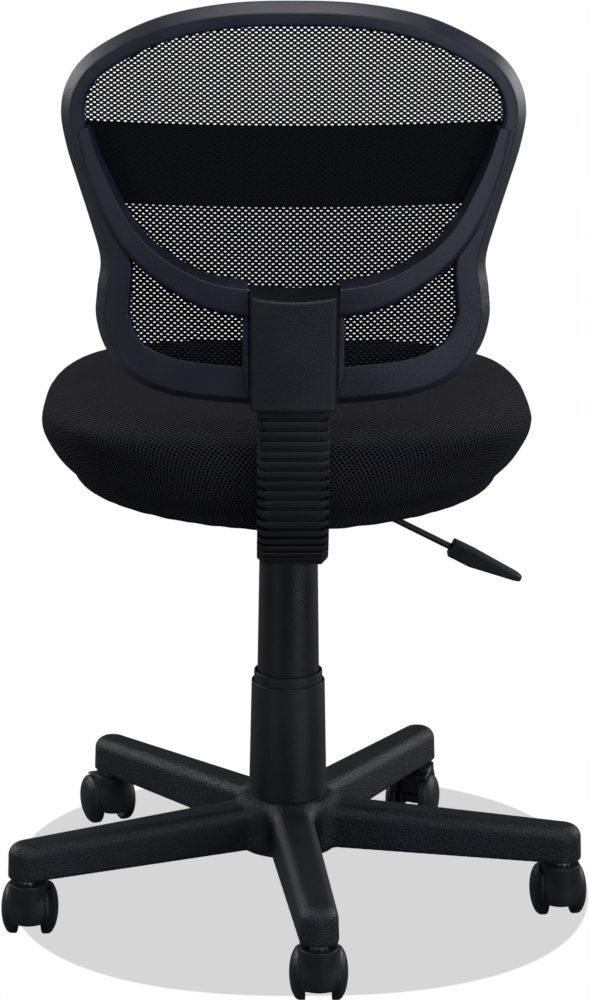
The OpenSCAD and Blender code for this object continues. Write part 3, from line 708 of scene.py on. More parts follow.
def lever_path():
    knee = np.array([LEVER_BEND_X, 0, LEVER_Z])
    down = np.array([-math.cos(LEVER_SLOPE), 0, -math.sin(LEVER_SLOPE)])
    return rounded([(5, 0, LEVER_Z), knee, knee + down * LEVER_RUN], 12, 10, closed=False)


def rod_along(path, radius, sides=24):
    """A round rod along a path that lies in the plane y = 0, with softened ends."""
    path = np.asarray(path, float)
    along = unit(np.gradient(path, axis=0))
    across = np.cross(along, (0, 1, 0))
    turn = np.linspace(0, 2 * math.pi, sides, endpoint=False)[:, None]

    def ring(p, a, r):
        return p + r * (np.cos(turn) * a + np.sin(turn) * np.array([0, 1, 0]))

    rounding = ((0, 0.8), (0.2, 0.3), (0.8, 0))
    rings = [ring(path[0] + along[0] * s, across[0], radius - e) for s, e in rounding]
    rings += [ring(p, a, radius) for p, a in zip(path[1:-1], across[1:-1])]
    rings += [ring(path[-1] - along[-1] * s, across[-1], radius - e) for s, e in rounding[::-1]]
    return tube(rings)


def handle_field(x, y, z):
    """The paddle, with its length along +z, its top towards +x and its width along y."""
    half_w = 8 + 0.9 * smooth_step(z / 20)
    top = 8.2 - 0.05 * np.maximum(z - 22, 0)
    low = np.clip(-8.4 + 0.165 * (z - 24), -8.4, -0.6)
    end = np.where(z > HANDLE_LEN - 9, np.hypot(y, z - HANDLE_LEN + 9) - 9.0, np.abs(y) - half_w)
    body = round_cut(round_cut(end, x - top, 2.0), low - x, 1.8)
    body = round_cut(body, -z, 1.6)
    return np.maximum(body, -np.maximum(np.hypot(x, y) - ROD_R - 0.1, z - 19))


def make_lever(steel, plastic):
    add_piece("lever_bar", rod_along(lever_path(), ROD_R), steel, "lever", "black_steel", "lever_rod",
              sharp=60)
    points, faces = surface_of(handle_field, (-12, -13, -3), (11, 13, HANDLE_LEN + 3), 0.8)
    start = np.array([LEVER_BEND_X, 0, LEVER_Z])
    along = np.array([-math.cos(LEVER_SLOPE), 0, -math.sin(LEVER_SLOPE)])
    up = np.array([-math.sin(LEVER_SLOPE), 0, math.cos(LEVER_SLOPE)])
    points = start + np.outer(points[:, 2] + HANDLE_START, along) + np.outer(points[:, 0], up) \
        + np.outer(points[:, 1], (0, 1, 0))
    add_piece("lever_paddle", (points, faces), plastic, "lever", "cover_plastic", "lever_handle", sharp=50)


# ---------- seat ----------

SEAT_LOW, SEAT_HIGH = size_mm("seat_cover")
SEAT_HALF = (SEAT_HIGH - SEAT_LOW) / 2
SEAT_MID = (SEAT_HIGH + SEAT_LOW) / 2
BASE_POWER = 2.0
HEM_POWER = 1.85
REAR_FULL = 11.0  # how much less the cushion tucks in at the middle of its rear
WIDEST_H = 64.0
HEM_INSET = 42.0
HOLE_PITCH, HOLE_ROW = 5.2, 2.6


def under_inset(h):
    """Inset from the widest outline below it, where the cushion tucks in towards its hem."""
    return HEM_INSET * (1 - h / WIDEST_H) ** 1.6


# Inset from the widest outline, height above the underside and power of the plan, from the crown down
SEAT_PROFILE = [
    (233, 99.6, 3.4), (160, 99.4, 3.4), (95, 98.8, 3.4), (58, 97.2, 3.4), (32, 94.5, 3.3), (13, 89.5, 3.1),
    (5, 82, 2.8), (2, 73, 2.5), (0, WIDEST_H, 2.2), (under_inset(56), 56, 2.1),
    (under_inset(44), 44, BASE_POWER), (under_inset(30), 30, BASE_POWER), (under_inset(16), 16, HEM_POWER),
    (under_inset(6), 6, HEM_POWER), (HEM_INSET, -0.2, HEM_POWER), (80, -0.3, HEM_POWER),
    (150, -0.3, HEM_POWER), (233, -0.3, HEM_POWER)
]
PROFILE_TOP = 99.0
SEAT_PROFILE_TURN = 14  # the row where the cover turns under the seat
CLOTH_SHRINK = 1.5
CLOTH_POWER = 2.5  # of the outline that the cloth's rows keep to
SIM_FRAMES = 20
SIM_PRESSURE = 14.0
SIM_REACH = 3.0
SIM_HELD = 6  # height of the hem, which the cloth is held by
SIM_VOXEL = 0.006


def plan_direction(turn, power=BASE_POWER):
    """Points of the seat's rounded plan, for half sizes of 1."""
    c, s = np.cos(turn), np.sin(turn)
    return np.stack([np.sign(c) * np.abs(c) ** (2 / power), np.sign(s) * np.abs(s) ** (2 / power)], -1)


def seat_shape(shrink):
    turn = np.linspace(0, 2 * math.pi, 160, endpoint=False)
    stretch = 2 * SEAT_HALF[2] / PROFILE_TOP
    rings = []
    for inset, height, power in spline(SEAT_PROFILE, 6)[1:-1]:
        half = np.maximum(SEAT_HALF[:2] - inset - shrink, 2)
        ring = plan_direction(turn, power) * half
        ring[:, 1] += REAR_FULL * np.clip(1 - height / WIDEST_H, 0, 1) * np.clip(ring[:, 1] / half[1], 0, 1)
        ring += SEAT_MID[:2]
        z = SEAT_LOW[2] + np.clip(height, shrink * 0.2, PROFILE_TOP - shrink) * stretch
        rings.append(np.column_stack([ring, np.full(len(turn), z)]))
    return tube(rings)


def inflate(obj, pinned_below, reach):
    """Cloth under pressure, held where it rests on its board, moving no further than reach."""
    rest = np.array([v.co for v in obj.data.vertices])
    held = obj.vertex_groups.new(name="held")
    held.add([i for i, p in enumerate(rest) if p[2] < pinned_below], 1.0, "REPLACE")
    cloth = obj.modifiers.new("cloth", "CLOTH")
    cloth.settings.vertex_group_mass = "held"
    cloth.settings.quality = 5
    cloth.settings.use_pressure = True
    cloth.settings.uniform_pressure_force = SIM_PRESSURE
    cloth.settings.tension_stiffness = cloth.settings.compression_stiffness = 9
    cloth.settings.effector_weights.gravity = 0
    cloth.collision_settings.use_collision = False
    cloth.point_cache.frame_start, cloth.point_cache.frame_end = 1, SIM_FRAMES
    scene = bpy.context.scene
    for number in range(1, SIM_FRAMES + 1):
        scene.frame_set(number)
    seen = obj.evaluated_get(bpy.context.evaluated_depsgraph_get())
    moved = np.array([v.co for v in seen.data.vertices])
    obj.modifiers.clear()
    scene.frame_set(1)
    step = moved - rest
    length = np.linalg.norm(step, axis=1, keepdims=True)
    step *= np.minimum(1, reach / np.maximum(length, 1e-9))
    obj.data.vertices.foreach_set("co", (rest + step).ravel())
    obj.data.update()


def share_out(points):
    """How far out each point is, as a share of the plan's outline at its height."""
    upwards = np.array(SEAT_PROFILE)[SEAT_PROFILE_TURN::-1]
    power = np.interp(points[:, 2] - SEAT_LOW[2], upwards[:, 1], upwards[:, 2])
    flat = np.abs(points[:, :2] - SEAT_MID[:2]) / SEAT_HALF[:2]
    return (flat ** power[:, None]).sum(1) ** (1 / power)


def cloth_coordinates(points):
    """Where each point of the cover lies on its flat cloth, in metres from the crown."""
    rho = share_out(points)
    inset, height = (1 - rho) * SEAT_HALF[0], points[:, 2] - SEAT_LOW[2]
    line = spline(SEAT_PROFILE, 12)[:, :2]
    run = np.concatenate([[0], np.cumsum(np.linalg.norm(np.diff(line, axis=0), axis=1))])
    from_line = (inset[:, None] - line[None, :, 0]) ** 2 + (height[:, None] - line[None, :, 1]) ** 2
    nearest = np.argmin(from_line, axis=1)
    to_line = line[nearest]
    ahead = unit(line[np.minimum(nearest + 1, len(line) - 1)] - line[np.maximum(nearest - 1, 0)] + 1e-9)
    along = run[nearest] + (inset - to_line[:, 0]) * ahead[:, 0] + (height - to_line[:, 1]) * ahead[:, 1]
    offset = points[:, :2] - SEAT_MID[:2]
    reach = np.linalg.norm(offset, axis=1)
    ahead = offset / np.maximum(reach, 1e-6)[:, None]
    outline = np.maximum((np.abs(ahead / SEAT_HALF[:2]) ** CLOTH_POWER).sum(1), 1e-9) ** (-1 / CLOTH_POWER)
    return ahead * (along * outline / SEAT_HALF[0])[:, None] * MM


def make_cushion(fabric):
    obj = link_mesh("seat_cushion", *seat_shape(CLOTH_SHRINK), fabric, 180)
    remesh = obj.modifiers.new("remesh", "REMESH")
    remesh.mode, remesh.voxel_size = "VOXEL", SIM_VOXEL
    with_modifiers(obj, fabric, 180)
    inflate(obj, (SEAT_LOW[2] + SIM_HELD) * MM, SIM_REACH * MM)
    smooth = obj.modifiers.new("smooth", "SMOOTH")
    smooth.factor, smooth.iterations = 0.5, 4
    refine = obj.modifiers.new("refine", "SUBSURF")
    refine.levels = refine.render_levels = 1
    with_modifiers(obj, fabric, 180)
    fit_to_box(obj)
    settle_hem(obj)
    points = points_of(obj)
    attribute = obj.data.attributes.new("cloth", "FLOAT_VECTOR", "POINT")
    cloth = np.column_stack([cloth_coordinates(points), np.zeros(len(points))])
    attribute.data.foreach_set("vector", cloth.astype(np.float32).ravel())
    seat_in(obj, "seat", "seat_fabric", "seat_cover", "seat_foam")


def fit_to_box(obj):
    """Brings the swollen cushion back to the length, width and height of its CAD solid."""
    points = points_of(obj)
    low, high = points.min(0), points.max(0)
    points = (points - low) / (high - low) * (SEAT_HIGH - SEAT_LOW) + SEAT_LOW
    move_points(obj, points)


def settle_hem(obj):
    """Small gathers where the cover turns under the seat's edge, and a faint unevenness above."""
    points = points_of(obj)
    offset = points[:, :2] - SEAT_MID[:2]
    turn = np.arctan2(offset[:, 1], offset[:, 0])
    rho = share_out(points)
    near_edge = np.exp(-((points[:, 2] - SEAT_LOW[2] - 4) / 8) ** 2) * smooth_step((rho - 0.55) / 0.2)
    gathers = 0.55 * np.sin(47 * turn + 1.3 * np.sin(5 * turn)) + 0.45 * np.sin(29 * turn + 2.0)
    soft = 0.5 * np.sin(3 * turn + 0.7) * np.sin(points[:, 2] / 17)
    out = offset / np.maximum(np.linalg.norm(offset, axis=1, keepdims=True), 1e-6)
    points[:, :2] += out * (0.9 * near_edge * gathers + soft * smooth_step((rho - 0.5) / 0.4))[:, None]
    points[:, 2] = np.maximum(points[:, 2] + 0.7 * near_edge * gathers, SEAT_LOW[2] - 0.2)
    move_points(obj, points)


STAPLES, STAPLE_INSET = 44, 6


def make_dust_cloth(material, steel):
    low, high = size_mm("seat_dust_cover")
    half, mid = (high - low) / 2, (high + low) / 2
    turn = np.linspace(0, 2 * math.pi, 120, endpoint=False)
    plan = plan_direction(turn)
    rings = []
    for share in np.linspace(0.02, 1, 26):
        ring = plan * half[:2] * share + mid[:2]
        slack = 0.35 * np.sin(ring[:, 0] / 23) * np.sin(ring[:, 1] / 19 + 1) * smooth_step((share - 0.5) * 4)
        rings.append(np.column_stack([ring, low[2] + 0.45 + slack * (share < 0.97)]))
    points, faces = tube(rings)
    obj = add_piece("dust_cloth", (points, faces[:-1]), material, "seat", "dust_cloth", "seat_dust_cover",
                    sharp=180)
    staples = []
    for k in range(STAPLES):
        turn = 2 * math.pi * k / STAPLES
        p, ahead = plan_direction(np.array([turn, turn + 0.02])) * (half[:2] - STAPLE_INSET) + mid[:2]
        staples.append(staple(p, unit(ahead - p), low[2]))
    add_piece("staples", joined(staples), steel, "seat", "plated_steel")


def staple(place, along, z):
    """A staple's crown: a short bar with its ends turned up."""
    across = np.array([-along[1], along[0]])
    rings = []
    for s, drop in ((-5.2, 1.2), (-5.0, 0.2), (-4.5, 0.0), (4.5, 0.0), (5.0, 0.2), (5.2, 1.2)):
        ring = []
        for u, v in ((-0.5, 0.0), (0.5, 0.0), (0.5, 0.5), (-0.5, 0.5)):
            p = place + along * s + across * u
            ring.append((p[0], p[1], z - 0.35 + drop + v))
        rings.append(ring)
    return tube(rings)


# ---------- back bar ----------

BAR_LEVEL, BAR_Y, BEND_R = 412.5, 244.0, 44.0
COVER_TOP = size_mm("bar_cover")[1][2]
COVER_HALF_W = size_mm("bar_cover")[1][0]
COVER_HALF_D = 11.0
COVER_LEAD = 4.0
BORE_HALF_W, BORE_HALF_D = 25.2, 3.2
RIB_PITCH, RIB_HALF_H, RIB_DEPTH = 9.0, 2.7, 3.4


def bar_point(s, out):
    """Centre of the bar at path length s, moved outwards by out, as (y, z)."""
    bend_len = BEND_R * math.pi / 2
    if s < COVER_LEAD:
        return BAR_Y - BEND_R - COVER_LEAD + s, BAR_LEVEL - out
    if s < COVER_LEAD + bend_len:
        a, r = (s - COVER_LEAD) / BEND_R, BEND_R + out
        return BAR_Y - BEND_R + r * math.sin(a), BAR_LEVEL + BEND_R - r * math.cos(a)
    return BAR_Y + out, BAR_LEVEL + BEND_R + s - COVER_LEAD - bend_len


def sleeve_ring(s, inset):
    w, d, cut = COVER_HALF_W - inset, COVER_HALF_D - inset, 6.0
    corners = rounded([(-w, -d), (w, -d), (w, d - cut), (w - cut, d), (-w + cut, d), (-w, d - cut)],
                      [2, 2, 0.8, 0.8, 0.8, 0.8], 3)
    return [(x, *bar_point(s, out)) for x, out in corners]


def make_sleeve(plastic):
    """The ribbed cover: fins with square faces, and deep slots between them."""
    bend_end = COVER_LEAD + BEND_R * math.pi / 2
    length = bend_end + COVER_TOP - BAR_LEVEL - BEND_R
    crowd = BEND_R / (BEND_R + COVER_HALF_D)
    ribs, middle = [], length - RIB_PITCH / 2
    while middle > COVER_LEAD + 1:
        scale = 1 if middle > bend_end else crowd
        ribs.append((middle, scale))
        middle -= RIB_PITCH * scale
    rings = [sleeve_ring(0, RIB_DEPTH + 0.6), sleeve_ring(0.05, RIB_DEPTH)]
    for middle, scale in ribs[::-1]:
        for offset, inset in ((-RIB_HALF_H, RIB_DEPTH), (-RIB_HALF_H, 0.45), (-RIB_HALF_H + 0.15, 0.12),
                              (-RIB_HALF_H + 0.5, 0), (RIB_HALF_H - 0.5, 0), (RIB_HALF_H - 0.15, 0.12),
                              (RIB_HALF_H, 0.45), (RIB_HALF_H, RIB_DEPTH)):
            if 0.1 < middle + offset * scale < length - 0.1:
                rings.append(sleeve_ring(middle + offset * scale, inset))
    rings.append(sleeve_ring(length, RIB_DEPTH))
    bore = []
    for x, _, z in sleeve_ring(0, 0):
        a = math.atan2(BAR_LEVEL - z, x)
        reach = min(BORE_HALF_W / max(abs(math.cos(a)), 1e-6), BORE_HALF_D / max(abs(math.sin(a)), 1e-6))
        bore.append((reach * math.cos(a), reach * math.sin(a)))
    inner = [[(x, *bar_point(t * length, out)) for x, out in bore] for t in np.linspace(0, 1, 24)[::-1]]
    add_piece("ribbed_sleeve", tube(rings + inner, closed=True), plastic, "seat", "bellows_plastic",
              "bar_cover", sharp=30)


# ---------- back frame ----------

BACK_LOW = size_mm("back_frame")[0][2]
BACK_TOP = size_mm("back_frame")[1][2]
BACK_FRONT_Y, BACK_LEAN, BACK_RADIUS = 211.6, math.radians(4.8), 550.0
RIM_DEPTH, RIM_BEVEL = 20.0, 8.5
MESH_HOLD, GROOVE_W = 5.5, 3.0
# Half of the frame's outline, x and z, from its lowest point up to its crest
FRAME_HALF = [
    (0, 552), (58, 554), (112, 560), (148, 576), (167, 600), (175, 628), (173.5, 655), (170.5, 682),
    (178.5, 714), (189.5, 750), (199, 782), (203.5, 812), (198, 838), (181, 862), (148, 884), (108, 901),
    (56, 911.5), (0, 914)
]
# Centre line of the bow behind the mesh: x, z, width and distance behind the front surface
BOW_HALF = [
    (0, 650, 34, 13), (40, 652, 34, 13), (75, 658, 32, 13), (105, 672, 29, 12), (130, 690, 27, 11),
    (149, 712, 25, 9.5), (164, 740, 23, 7.5), (176, 770, 19, 6), (184, 800, 14, 4.5)
]
BOW_THICK = 17.0


def on_back(x, z, depth):
    """Points behind the leaning, curved front surface of the back by depth."""
    x, z, depth = np.broadcast_arrays(np.asarray(x, float), z, depth)
    y = BACK_FRONT_Y + (z - BACK_LOW) * math.tan(BACK_LEAN) - x * x / (2 * BACK_RADIUS) + depth
    return np.stack([x, y, z], -1)


def outline_of_frame(steps):
    """Points of the outline, the unit direction inwards at each, and the rim's width there."""
    half = np.array(FRAME_HALF, float)
    other = half[1:-1][::-1] * (-1, 1)
    line = spline(np.vstack([half, other]), steps, closed=True)
    ahead = unit(np.roll(line, -1, 0) - np.roll(line, 1, 0))
    inwards = np.column_stack([-ahead[:, 1], ahead[:, 0]])
    width = 31.0 - 10.0 * smooth_step((line[:, 1] - 640) / 140)
    return line, inwards, width


def rim_sweep(section, steps=12):
    """A closed sweep round the frame. section(width, rail) gives (distance inwards, depth) points.

    rail is 1 where the rim runs level along the bottom, and 0 at its sides and top.
    """
    line, inwards, width = outline_of_frame(steps)
    rings = []
    for p, n, w in zip(line, inwards, width):
        s = section(w, max(n[1], 0) if p[1] < 640 else 0)
        place = p + n * s[:, :1]
        rings.append(on_back(place[:, 0], place[:, 1], s[:, 1]))
    return tube(rings, closed=True)


def rim_section(w, rail):
    groove = w - MESH_HOLD - GROOVE_W
    return rounded([
        (0, 2.5), (2.5, 0), (groove, 0), (groove, 3), (w - MESH_HOLD, 3), (w - MESH_HOLD, 0), (w, 0),
        (w - 0.4 + 5 * rail, 16), (w - 2.5 + 9 * rail, RIM_DEPTH), (RIM_BEVEL, RIM_DEPTH), (0, RIM_DEPTH - 12)
    ], [2, 2, 0.4, 0.3, 0.3, 0.4, 0.5, 2.5, 2.0, 2.2, 2.5], 4)


def bow_rings():
    line = spline(np.array(BOW_HALF, float), 10)
    line = np.vstack([line[::-1] * (-1, 1, 1, 1), line[1:]])
    ahead = unit(np.gradient(line[:, :2], axis=0))
    side = np.column_stack([-ahead[:, 1], ahead[:, 0]])
    rings = []
    for (x, z, w, depth), n in zip(line, side):
        t = BOW_THICK
        s = rounded([
            (0.5 * w, 0.02 * t), (0.31 * w, t), (-0.34 * w, t), (-0.5 * w, 0.5 * t), (-0.4 * w, 0),
            (0.46 * w, 0)
        ], np.array([0.8, 1.3, 6, 4, 2, 0.8]) * w / 34, 5)
        place = np.array([x, z]) + n * s[:, :1]
        rings.append(on_back(place[:, 0], place[:, 1], depth + s[:, 1]))
    return rings


HOUSING_LOW, HOUSING_HIGH = size_mm("back_housing")
HOUSING_SLOPE = math.tan(math.radians(15))
HOUSING_HALF_W = 39.8
HOUSING_FRONT_Y = 232  # the plane of the plate it is set into


def housing_field(x, y, z):
    """The block over the bar: slightly crowned behind, and hollowed a little along its top."""
    low, top = HOUSING_LOW[2], HOUSING_HIGH[2]
    side = np.abs(x) - (HOUSING_HALF_W - 0.03 * (y - HOUSING_FRONT_Y) - 0.008 * (top - z))
    rear = y - HOUSING_HIGH[1] + 2.2 * (x / 39) ** 2
    hollow = 3.2 * np.clip(1 - (x / 39) ** 2, 0, 1)
    roof = (z - top + (y - HOUSING_FRONT_Y) * HOUSING_SLOPE + hollow) * 0.96
    body = round_cut(round_cut(round_cut(side, rear, 5), roof, 1.6), low - z, 3)
    body = np.maximum(body, HOUSING_FRONT_Y - y)
    bar_y = y - BAR_Y
    sleeve = np.maximum.reduce([np.abs(x) - 32.4, np.abs(bar_y) - 11.4, z - COVER_TOP - 1.2])
    slot = np.maximum.reduce([np.abs(x) - 25.3, np.abs(bar_y) - 3.3, z - 641])
    bolts = np.maximum.reduce([np.abs(x) - 8, np.abs(bar_y - 6) - 3.4, np.abs(z - 603.5) - 27])
    return np.maximum(body, -np.minimum(np.minimum(sleeve, slot), bolts))


def housing_gap():
    """The space the block fills in the frame, with a seam that opens towards its top."""
    rings = []
    for z, grow in ((HOUSING_LOW[2] - 0.2, 0.1), (HOUSING_HIGH[2] - 25, 0.2), (HOUSING_HIGH[2] + 12, 1.1)):
        half = HOUSING_HALF_W + grow
        rings.append([(-half, HOUSING_FRONT_Y, z), (half, HOUSING_FRONT_Y, z),
                      (half - 0.9, 275, z), (-half + 0.9, 275, z)])
    return tube(rings)


def bevelled(obj, radius, wanted, segments=3):
    """Rounds the edges whose middle passes the test wanted(point in mm)."""
    shaper = bmesh.new()
    shaper.from_mesh(obj.data)
    edges = [e for e in shaper.edges if wanted(np.array((e.verts[0].co + e.verts[1].co) / 2) / MM)]
    bmesh.ops.bevel(shaper, geom=edges, offset=radius * MM, segments=segments, profile=0.5, affect="EDGES",
                    clamp_overlap=True)
    shaper.to_mesh(obj.data)
    shaper.free()


def make_housing(plastic):
    shape = surface_of(housing_field, (-43, 229, HOUSING_LOW[2] - 3),
                       (43, HOUSING_HIGH[1] + 3, HOUSING_HIGH[2] + 3), 1.1)
    add_piece("bar_housing", shape, plastic, "seat", "frame_plastic", "back_housing", sharp=35)


SPINE_HALF_W, SPINE_LOW, SPINE_HIGH, SPINE_REAR_Y = 45.0, 568.0, 650.0, 239.0


def spine_shape():
    """The plate behind the mesh that carries the housing: chamfered at its corners."""
    half, low, high = SPINE_HALF_W, SPINE_LOW, SPINE_HIGH
    outline = [(-half + 5, low), (half - 5, low), (half, low + 22), (half, high - 18), (half - 6, high - 8),
               (half - 6, high), (-half + 6, high), (-half + 6, high - 8), (-half, high - 18),
               (-half, low + 22)]
    front = [on_back(x, z, 2.5) for x, z in outline]
    rear = [(x, SPINE_REAR_Y, z) for x, z in outline]
    return tube([front, rear])


def make_back_frame(plastic):
    frame_obj = link_mesh("back_rim_and_bow", *rim_sweep(rim_section), plastic, 30)
    bow = link_mesh("bow", *tube(bow_rings()), plastic, 30)
    spine = link_mesh("spine", *spine_shape(), plastic, 30)
    bevelled(spine, 1.2, lambda p: p[1] > SPINE_REAR_Y - 0.5)
    seat_gap = link_mesh("gap", *housing_gap(), plastic, 30)
    combine(frame_obj, bow, "UNION")
    combine(frame_obj, spine, "UNION")
    combine(frame_obj, seat_gap, "DIFFERENCE")
    finish_mesh(frame_obj.data, plastic, 28)
    seat_in(frame_obj, "seat", "frame_plastic", "back_frame")


# ---------- mesh, band and cord ----------

MESH_PITCH = 6.0  # from one hole to the next along a row
# Row pitch, and a hole's half width, straight side's half height and half height: low down, and high up
LOW_ROWS, HIGH_ROWS = (2.67, 1.05, 0.36, 0.70), (2.24, 1.24, 0.38, 0.80)
ROWS_CHANGE = (735.0, 808.0)
MESH_FRONT, MESH_REAR = -0.95, -0.25
MESH_EDGE = 6.9
CORD_R = 1.35


def inside_outline(x, z, hold):
    """Whether points lie within the line that is hold mm outside the rim's inner edge."""
    line, inwards, width = outline_of_frame(6)
    edge = line + inwards * (width - hold)[:, None]
    a, b = edge, np.roll(edge, -1, 0)
    x, z = np.asarray(x)[:, None], np.asarray(z)[:, None]
    above = (a[:, 1] > z) != (b[:, 1] > z)
    at = a[:, 0] + (z - a[:, 1]) * (b[:, 0] - a[:, 0]) / np.where(above, b[:, 1] - a[:, 1], 1)
    return (above & (x < at)).sum(1) % 2 == 1


def row_sizes(z):
    share = smooth_step((z - ROWS_CHANGE[0]) / (ROWS_CHANGE[1] - ROWS_CHANGE[0]))
    return np.array(LOW_ROWS) * (1 - share) + np.array(HIGH_ROWS) * share


def mesh_lattice():
    """Six-sided holes in staggered rows, as the flat points and front faces of a net, which close_sheet
    closes.
    """
    columns = int(210 / MESH_PITCH) + 1
    keys, centres, sizes = [], [], []
    row, z = 0, BACK_LOW
    while z < BACK_TOP:
        pitch, *hole = row_sizes(z)
        for column in range(-columns, columns + 1):
            keys.append((column * 2 + row % 2, row))
            centres.append((column * MESH_PITCH + (row % 2) * MESH_PITCH / 2, z))
            sizes.append(hole)
        row, z = row + 1, z + pitch
    centres, sizes = np.array(centres), np.array(sizes)
    half_w, side, apex = (sizes[:, [k]] for k in range(3))
    kept = np.ones(len(keys), bool)
    for reach in (half_w * (1, 0), half_w * (-1, 0), apex * (0, 1), apex * (0, -1)):
        kept &= inside_outline(*(centres + reach).T, MESH_EDGE)
    number = {k: i for i, k in enumerate([k for k, keep in zip(keys, kept) if keep])}
    corners = [half_w * (1, 0) - side * (0, 1), half_w * (1, 0) + side * (0, 1), apex * (0, 1),
               half_w * (-1, 0) + side * (0, 1), half_w * (-1, 0) - side * (0, 1), apex * (0, -1)]
    flat = (centres[:, None, :] + np.stack(corners, 1))[kept].reshape(-1, 2)
    right_low, right_high, top, left_high, left_low, foot = range(6)
    front = []
    for (column, row), i in number.items():
        right, up_right, up_left = (number.get(k) for k in (
            (column + 2, row), (column + 1, row + 1), (column - 1, row + 1)))
        here = i * 6
        if right is not None:
            front.append([here + right_low, right * 6 + left_low, right * 6 + left_high, here + right_high])
        if up_right is not None:
            front.append([here + right_high, up_right * 6 + foot, up_right * 6 + left_low, here + top])
        if up_left is not None:
            front.append([here + top, up_left * 6 + right_low, up_left * 6 + foot, here + left_high])
        if right is not None and up_right is not None:
            front.append([here + right_high, right * 6 + left_high, up_right * 6 + foot])
        if up_right is not None and up_left is not None:
            front.append([here + top, up_right * 6 + left_low, up_left * 6 + right_low])
    return flat, front


def close_sheet(flat, faces, front_depth, rear_depth):
    """A thin closed solid from a flat net: its front, its rear and walls round every open edge."""
    n = len(flat)
    points = np.vstack([on_back(flat[:, 0], flat[:, 1], depth) for depth in (front_depth, rear_depth)])
    uses = {}
    for face in faces:
        for a, b in zip(face, face[1:] + face[:1]):
            uses[(a, b)] = True
    walls = [[a, b, b + n, a + n] for a, b in uses if (b, a) not in uses]
    rear = [[k + n for k in face] for face in faces]
    used = sorted({k for face in faces for k in face})
    renumber = {k: i for i, k in enumerate(used)}
    renumber.update({k + n: i + len(used) for i, k in enumerate(used)})
    points = np.vstack([points[used], points[[k + n for k in used]]])
    every = [face[::-1] for face in faces] + rear + walls
    return points, [[renumber[k] for k in face] for face in every]


def make_mesh(threads, tape, band_cloth, cord_cloth):
    lattice = close_sheet(*mesh_lattice(), MESH_FRONT, MESH_REAR)
    net = add_piece("back_net", lattice, threads, "seat", "mesh_fabric", "back_mesh", sharp=20)

    def tape_section(w, rail):
        return rounded([(w - 8.3, -1.0), (w - 8.3, -1.5), (w - 0.8, -1.5), (w - 0.8, -1.0)], 0.2, 2)

    hem = add_piece("net_edge_tape", rim_sweep(tape_section, 8), tape, "seat", "band_fabric", sharp=60)

    def cord_section(w, rail):
        turn = np.linspace(0, 2 * math.pi, 12, endpoint=False)
        return np.column_stack([w - 7 + CORD_R * np.cos(turn), 0.1 - CORD_R * np.sin(turn)])

    add_piece("edge_cord", rim_sweep(cord_section, 10), cord_cloth, "seat", "band_fabric", "mesh_cord",
              sharp=60)
    band = add_piece("lumbar_band", band_shape(), band_cloth, "seat", "band_fabric", "back_band", sharp=50)


BAND_HEM = 5.0


def band_shape():
    """The opaque strip across the mesh, with folded hems at its top and bottom."""
    low, high = size_mm("back_band")
    line, inwards, width = outline_of_frame(12)
    edge = line + inwards * (width - MESH_EDGE)[:, None]
    edge = edge[(edge[:, 0] > 0) & (edge[:, 1] > 650)]
    edge = edge[np.argsort(edge[:, 1])]
    hem = BAND_HEM
    levels = np.concatenate([[low[2], low[2] + 0.3, low[2] + hem - 0.3, low[2] + hem],
                             np.linspace(low[2] + hem, high[2] - hem, 18)[1:-1],
                             [high[2] - hem, high[2] - hem + 0.3, high[2] - 0.3, high[2]]])
    in_hem = np.minimum(levels - low[2], high[2] - levels) < hem - 0.1
    share = np.linspace(-1, 1, 81)
    half = np.interp(levels, edge[:, 1], edge[:, 0])
    rear = [on_back(share * h, z, -1.5) for h, z in zip(half, levels)]
    front = [on_back(share * h, z, -2.1 - (0.4 if thick else 0)) for h, z, thick in zip(half, levels, in_hem)]
    rings = [np.vstack([r, f[::-1]]) for r, f in zip(rear, front)]
    return tube(rings)


# ---------- CAD nodes that stay ----------

def soften(node, material, width):
    """A CAD node that is right as it is: its edges are eased and it gets its material."""
    obj = frame["nodes"][node]
    obj.data.materials.clear()
    obj.data.materials.append(material)
    weld = obj.modifiers.new("weld", "WELD")
    weld.merge_threshold = 1e-6
    bevel = obj.modifiers.new("bevel", "BEVEL")
    bevel.width, bevel.segments, bevel.limit_method = width * MM, 2, "ANGLE"
    bevel.angle_limit = math.radians(35)
    obj.modifiers.new("normals", "WEIGHTED_NORMAL").keep_sharp = True


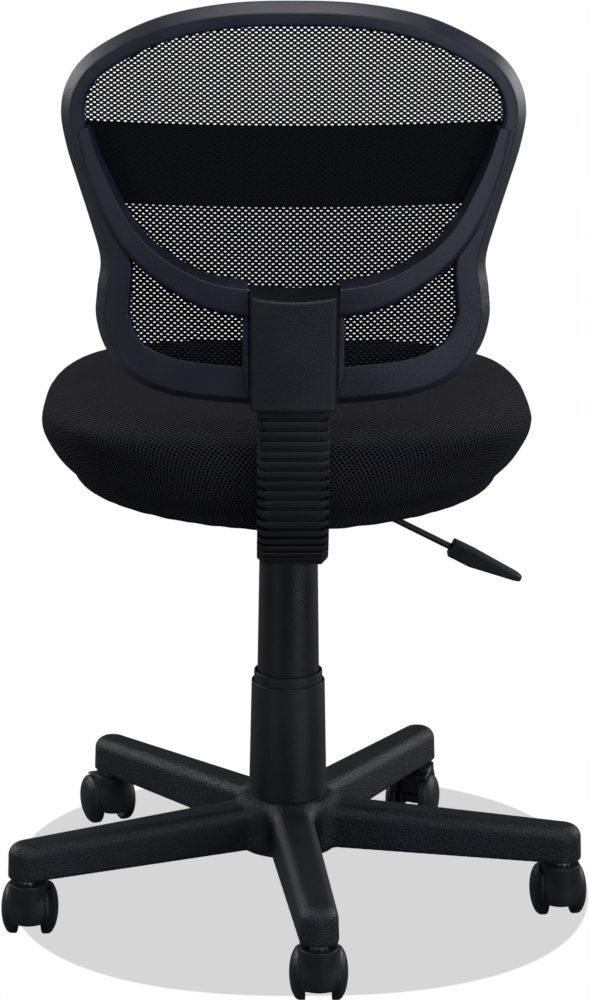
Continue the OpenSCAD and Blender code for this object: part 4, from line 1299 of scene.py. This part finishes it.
def make_all():
    nylon = moulded("base_nylon", "#121319", "#1a1b23", 0.36, 0.0015, 0.0007)
    caster = moulded("caster_nylon", "#121319", "#18191f", 0.4, 0.0009, 0.0002)
    cover = moulded("cover_plastic", "#111116", "#16161c", 0.4, 0.0009, 0.00018)
    shell = moulded("frame_plastic", "#22232e", "#2b2c3a", 0.34, 0.0009, 0.0002)
    # painted shade: the housing block is the frame's plastic, coloured darker because it stands upright and
    # gets less light than the rim
    block = moulded("block_plastic_painted_shade", "#15161c", "#1a1b22", 0.43, 0.001, 0.00025)
    bellows = moulded("bellows_plastic", "#0b0b0e", "#101014", 0.45, 0.0007, 0.00005)
    paint = painted_steel("black_steel")
    zinc = plated_steel("plated_steel")
    white = moulded("bush_plastic", "#dcdbd4", "#e6e5e0", 0.45, 0.0008, 0.00003)
    knit = spacer_fabric("seat_fabric")
    threads = woven("mesh_fabric", "#020203", "#0a0a0c", 0.0009, 0.8, 0.0)
    band = woven("band_fabric", "#161722", "#252735", 0.0014)
    tape = woven("edge_tape", "#08080a", "#141417", 0.0011)
    wood = plywood("plywood")

    add_piece("star_base_moulding", surface_of(base_field, (-300, -300, 44), (300, 300, 118), 2.2, 3), nylon,
              "base", "base_nylon", "star_base", sharp=50)
    make_casters(caster)
    make_covers(cover)
    make_lever(paint, cover)
    make_cushion(knit)
    make_dust_cloth(felt("dust_cloth"), zinc)
    make_sleeve(bellows)
    make_housing(block)
    make_back_frame(shell)
    make_mesh(threads, tape, band, tape)

    for i in range(1, 6):
        soften(f"caster_stem_{i}", zinc, 0.3)
        soften(f"caster_axle_{i}", zinc, 0.3)
    for node in ("gas_piston_rod", "gas_thrust_bearing", "gas_clip", "gas_valve_pin", "seat_tee_nuts",
                 "seat_bolts", "bar_bolts", "back_bolts"):
        soften(node, zinc, 0.3)
    for node in ("gas_outer_tube", "gas_cylinder", "taper_socket", "seat_mechanism", "back_bar"):
        soften(node, paint, 0.5)
    soften("gas_guide_bush", white, 0.3)
    soften("seat_pan", wood, 0.8)


# Centre, half sizes and power of the painted shadow, a grey oval on the floor under the chair
SHADOW_OVAL_MIDDLE, SHADOW_OVAL_HALF, SHADOW_OVAL_POWER = (-0.012, -0.05, 0), (0.288, 0.3, 1.0), 2.35


def make_floor():
    """A plain pale floor, with a painted shadow: an oval under the chair painted a shade greyer."""
    s = Shader("floor", Base_Color=(0.16, 0.16, 0.17, 1), Roughness=0.9)
    where = s.vector("DIVIDE", s.vector("SUBTRACT", s.place(), SHADOW_OVAL_MIDDLE), SHADOW_OVAL_HALF)
    flat = s.node("ShaderNodeSeparateXYZ", Vector=s.vector("ABSOLUTE", where))
    oval = s.spread(s.math("ADD", s.math("POWER", flat.outputs["X"], SHADOW_OVAL_POWER),
                           s.math("POWER", flat.outputs["Y"], SHADOW_OVAL_POWER)), 0.99, 1.01)
    # painted shadow: grey inside the oval under the chair, white outside it
    tone = s.mix(oval, linear("#d6d6d6"), (1, 1, 1, 1))
    seen = s.node("ShaderNodeEmission", Color=tone)
    seen_or_lighting(s.tree, s.principled, seen, s.tree.nodes["Material Output"])
    corners = [(-12000, -12000, -0.2), (12000, -12000, -0.2), (12000, 12000, -0.2), (-12000, 12000, -0.2)]
    points, faces = np.array(corners, float), [[0, 1, 2, 3]]
    link_mesh("floor", points, faces, s.material)


make_camera()
make_light()
make_all()
make_floor()
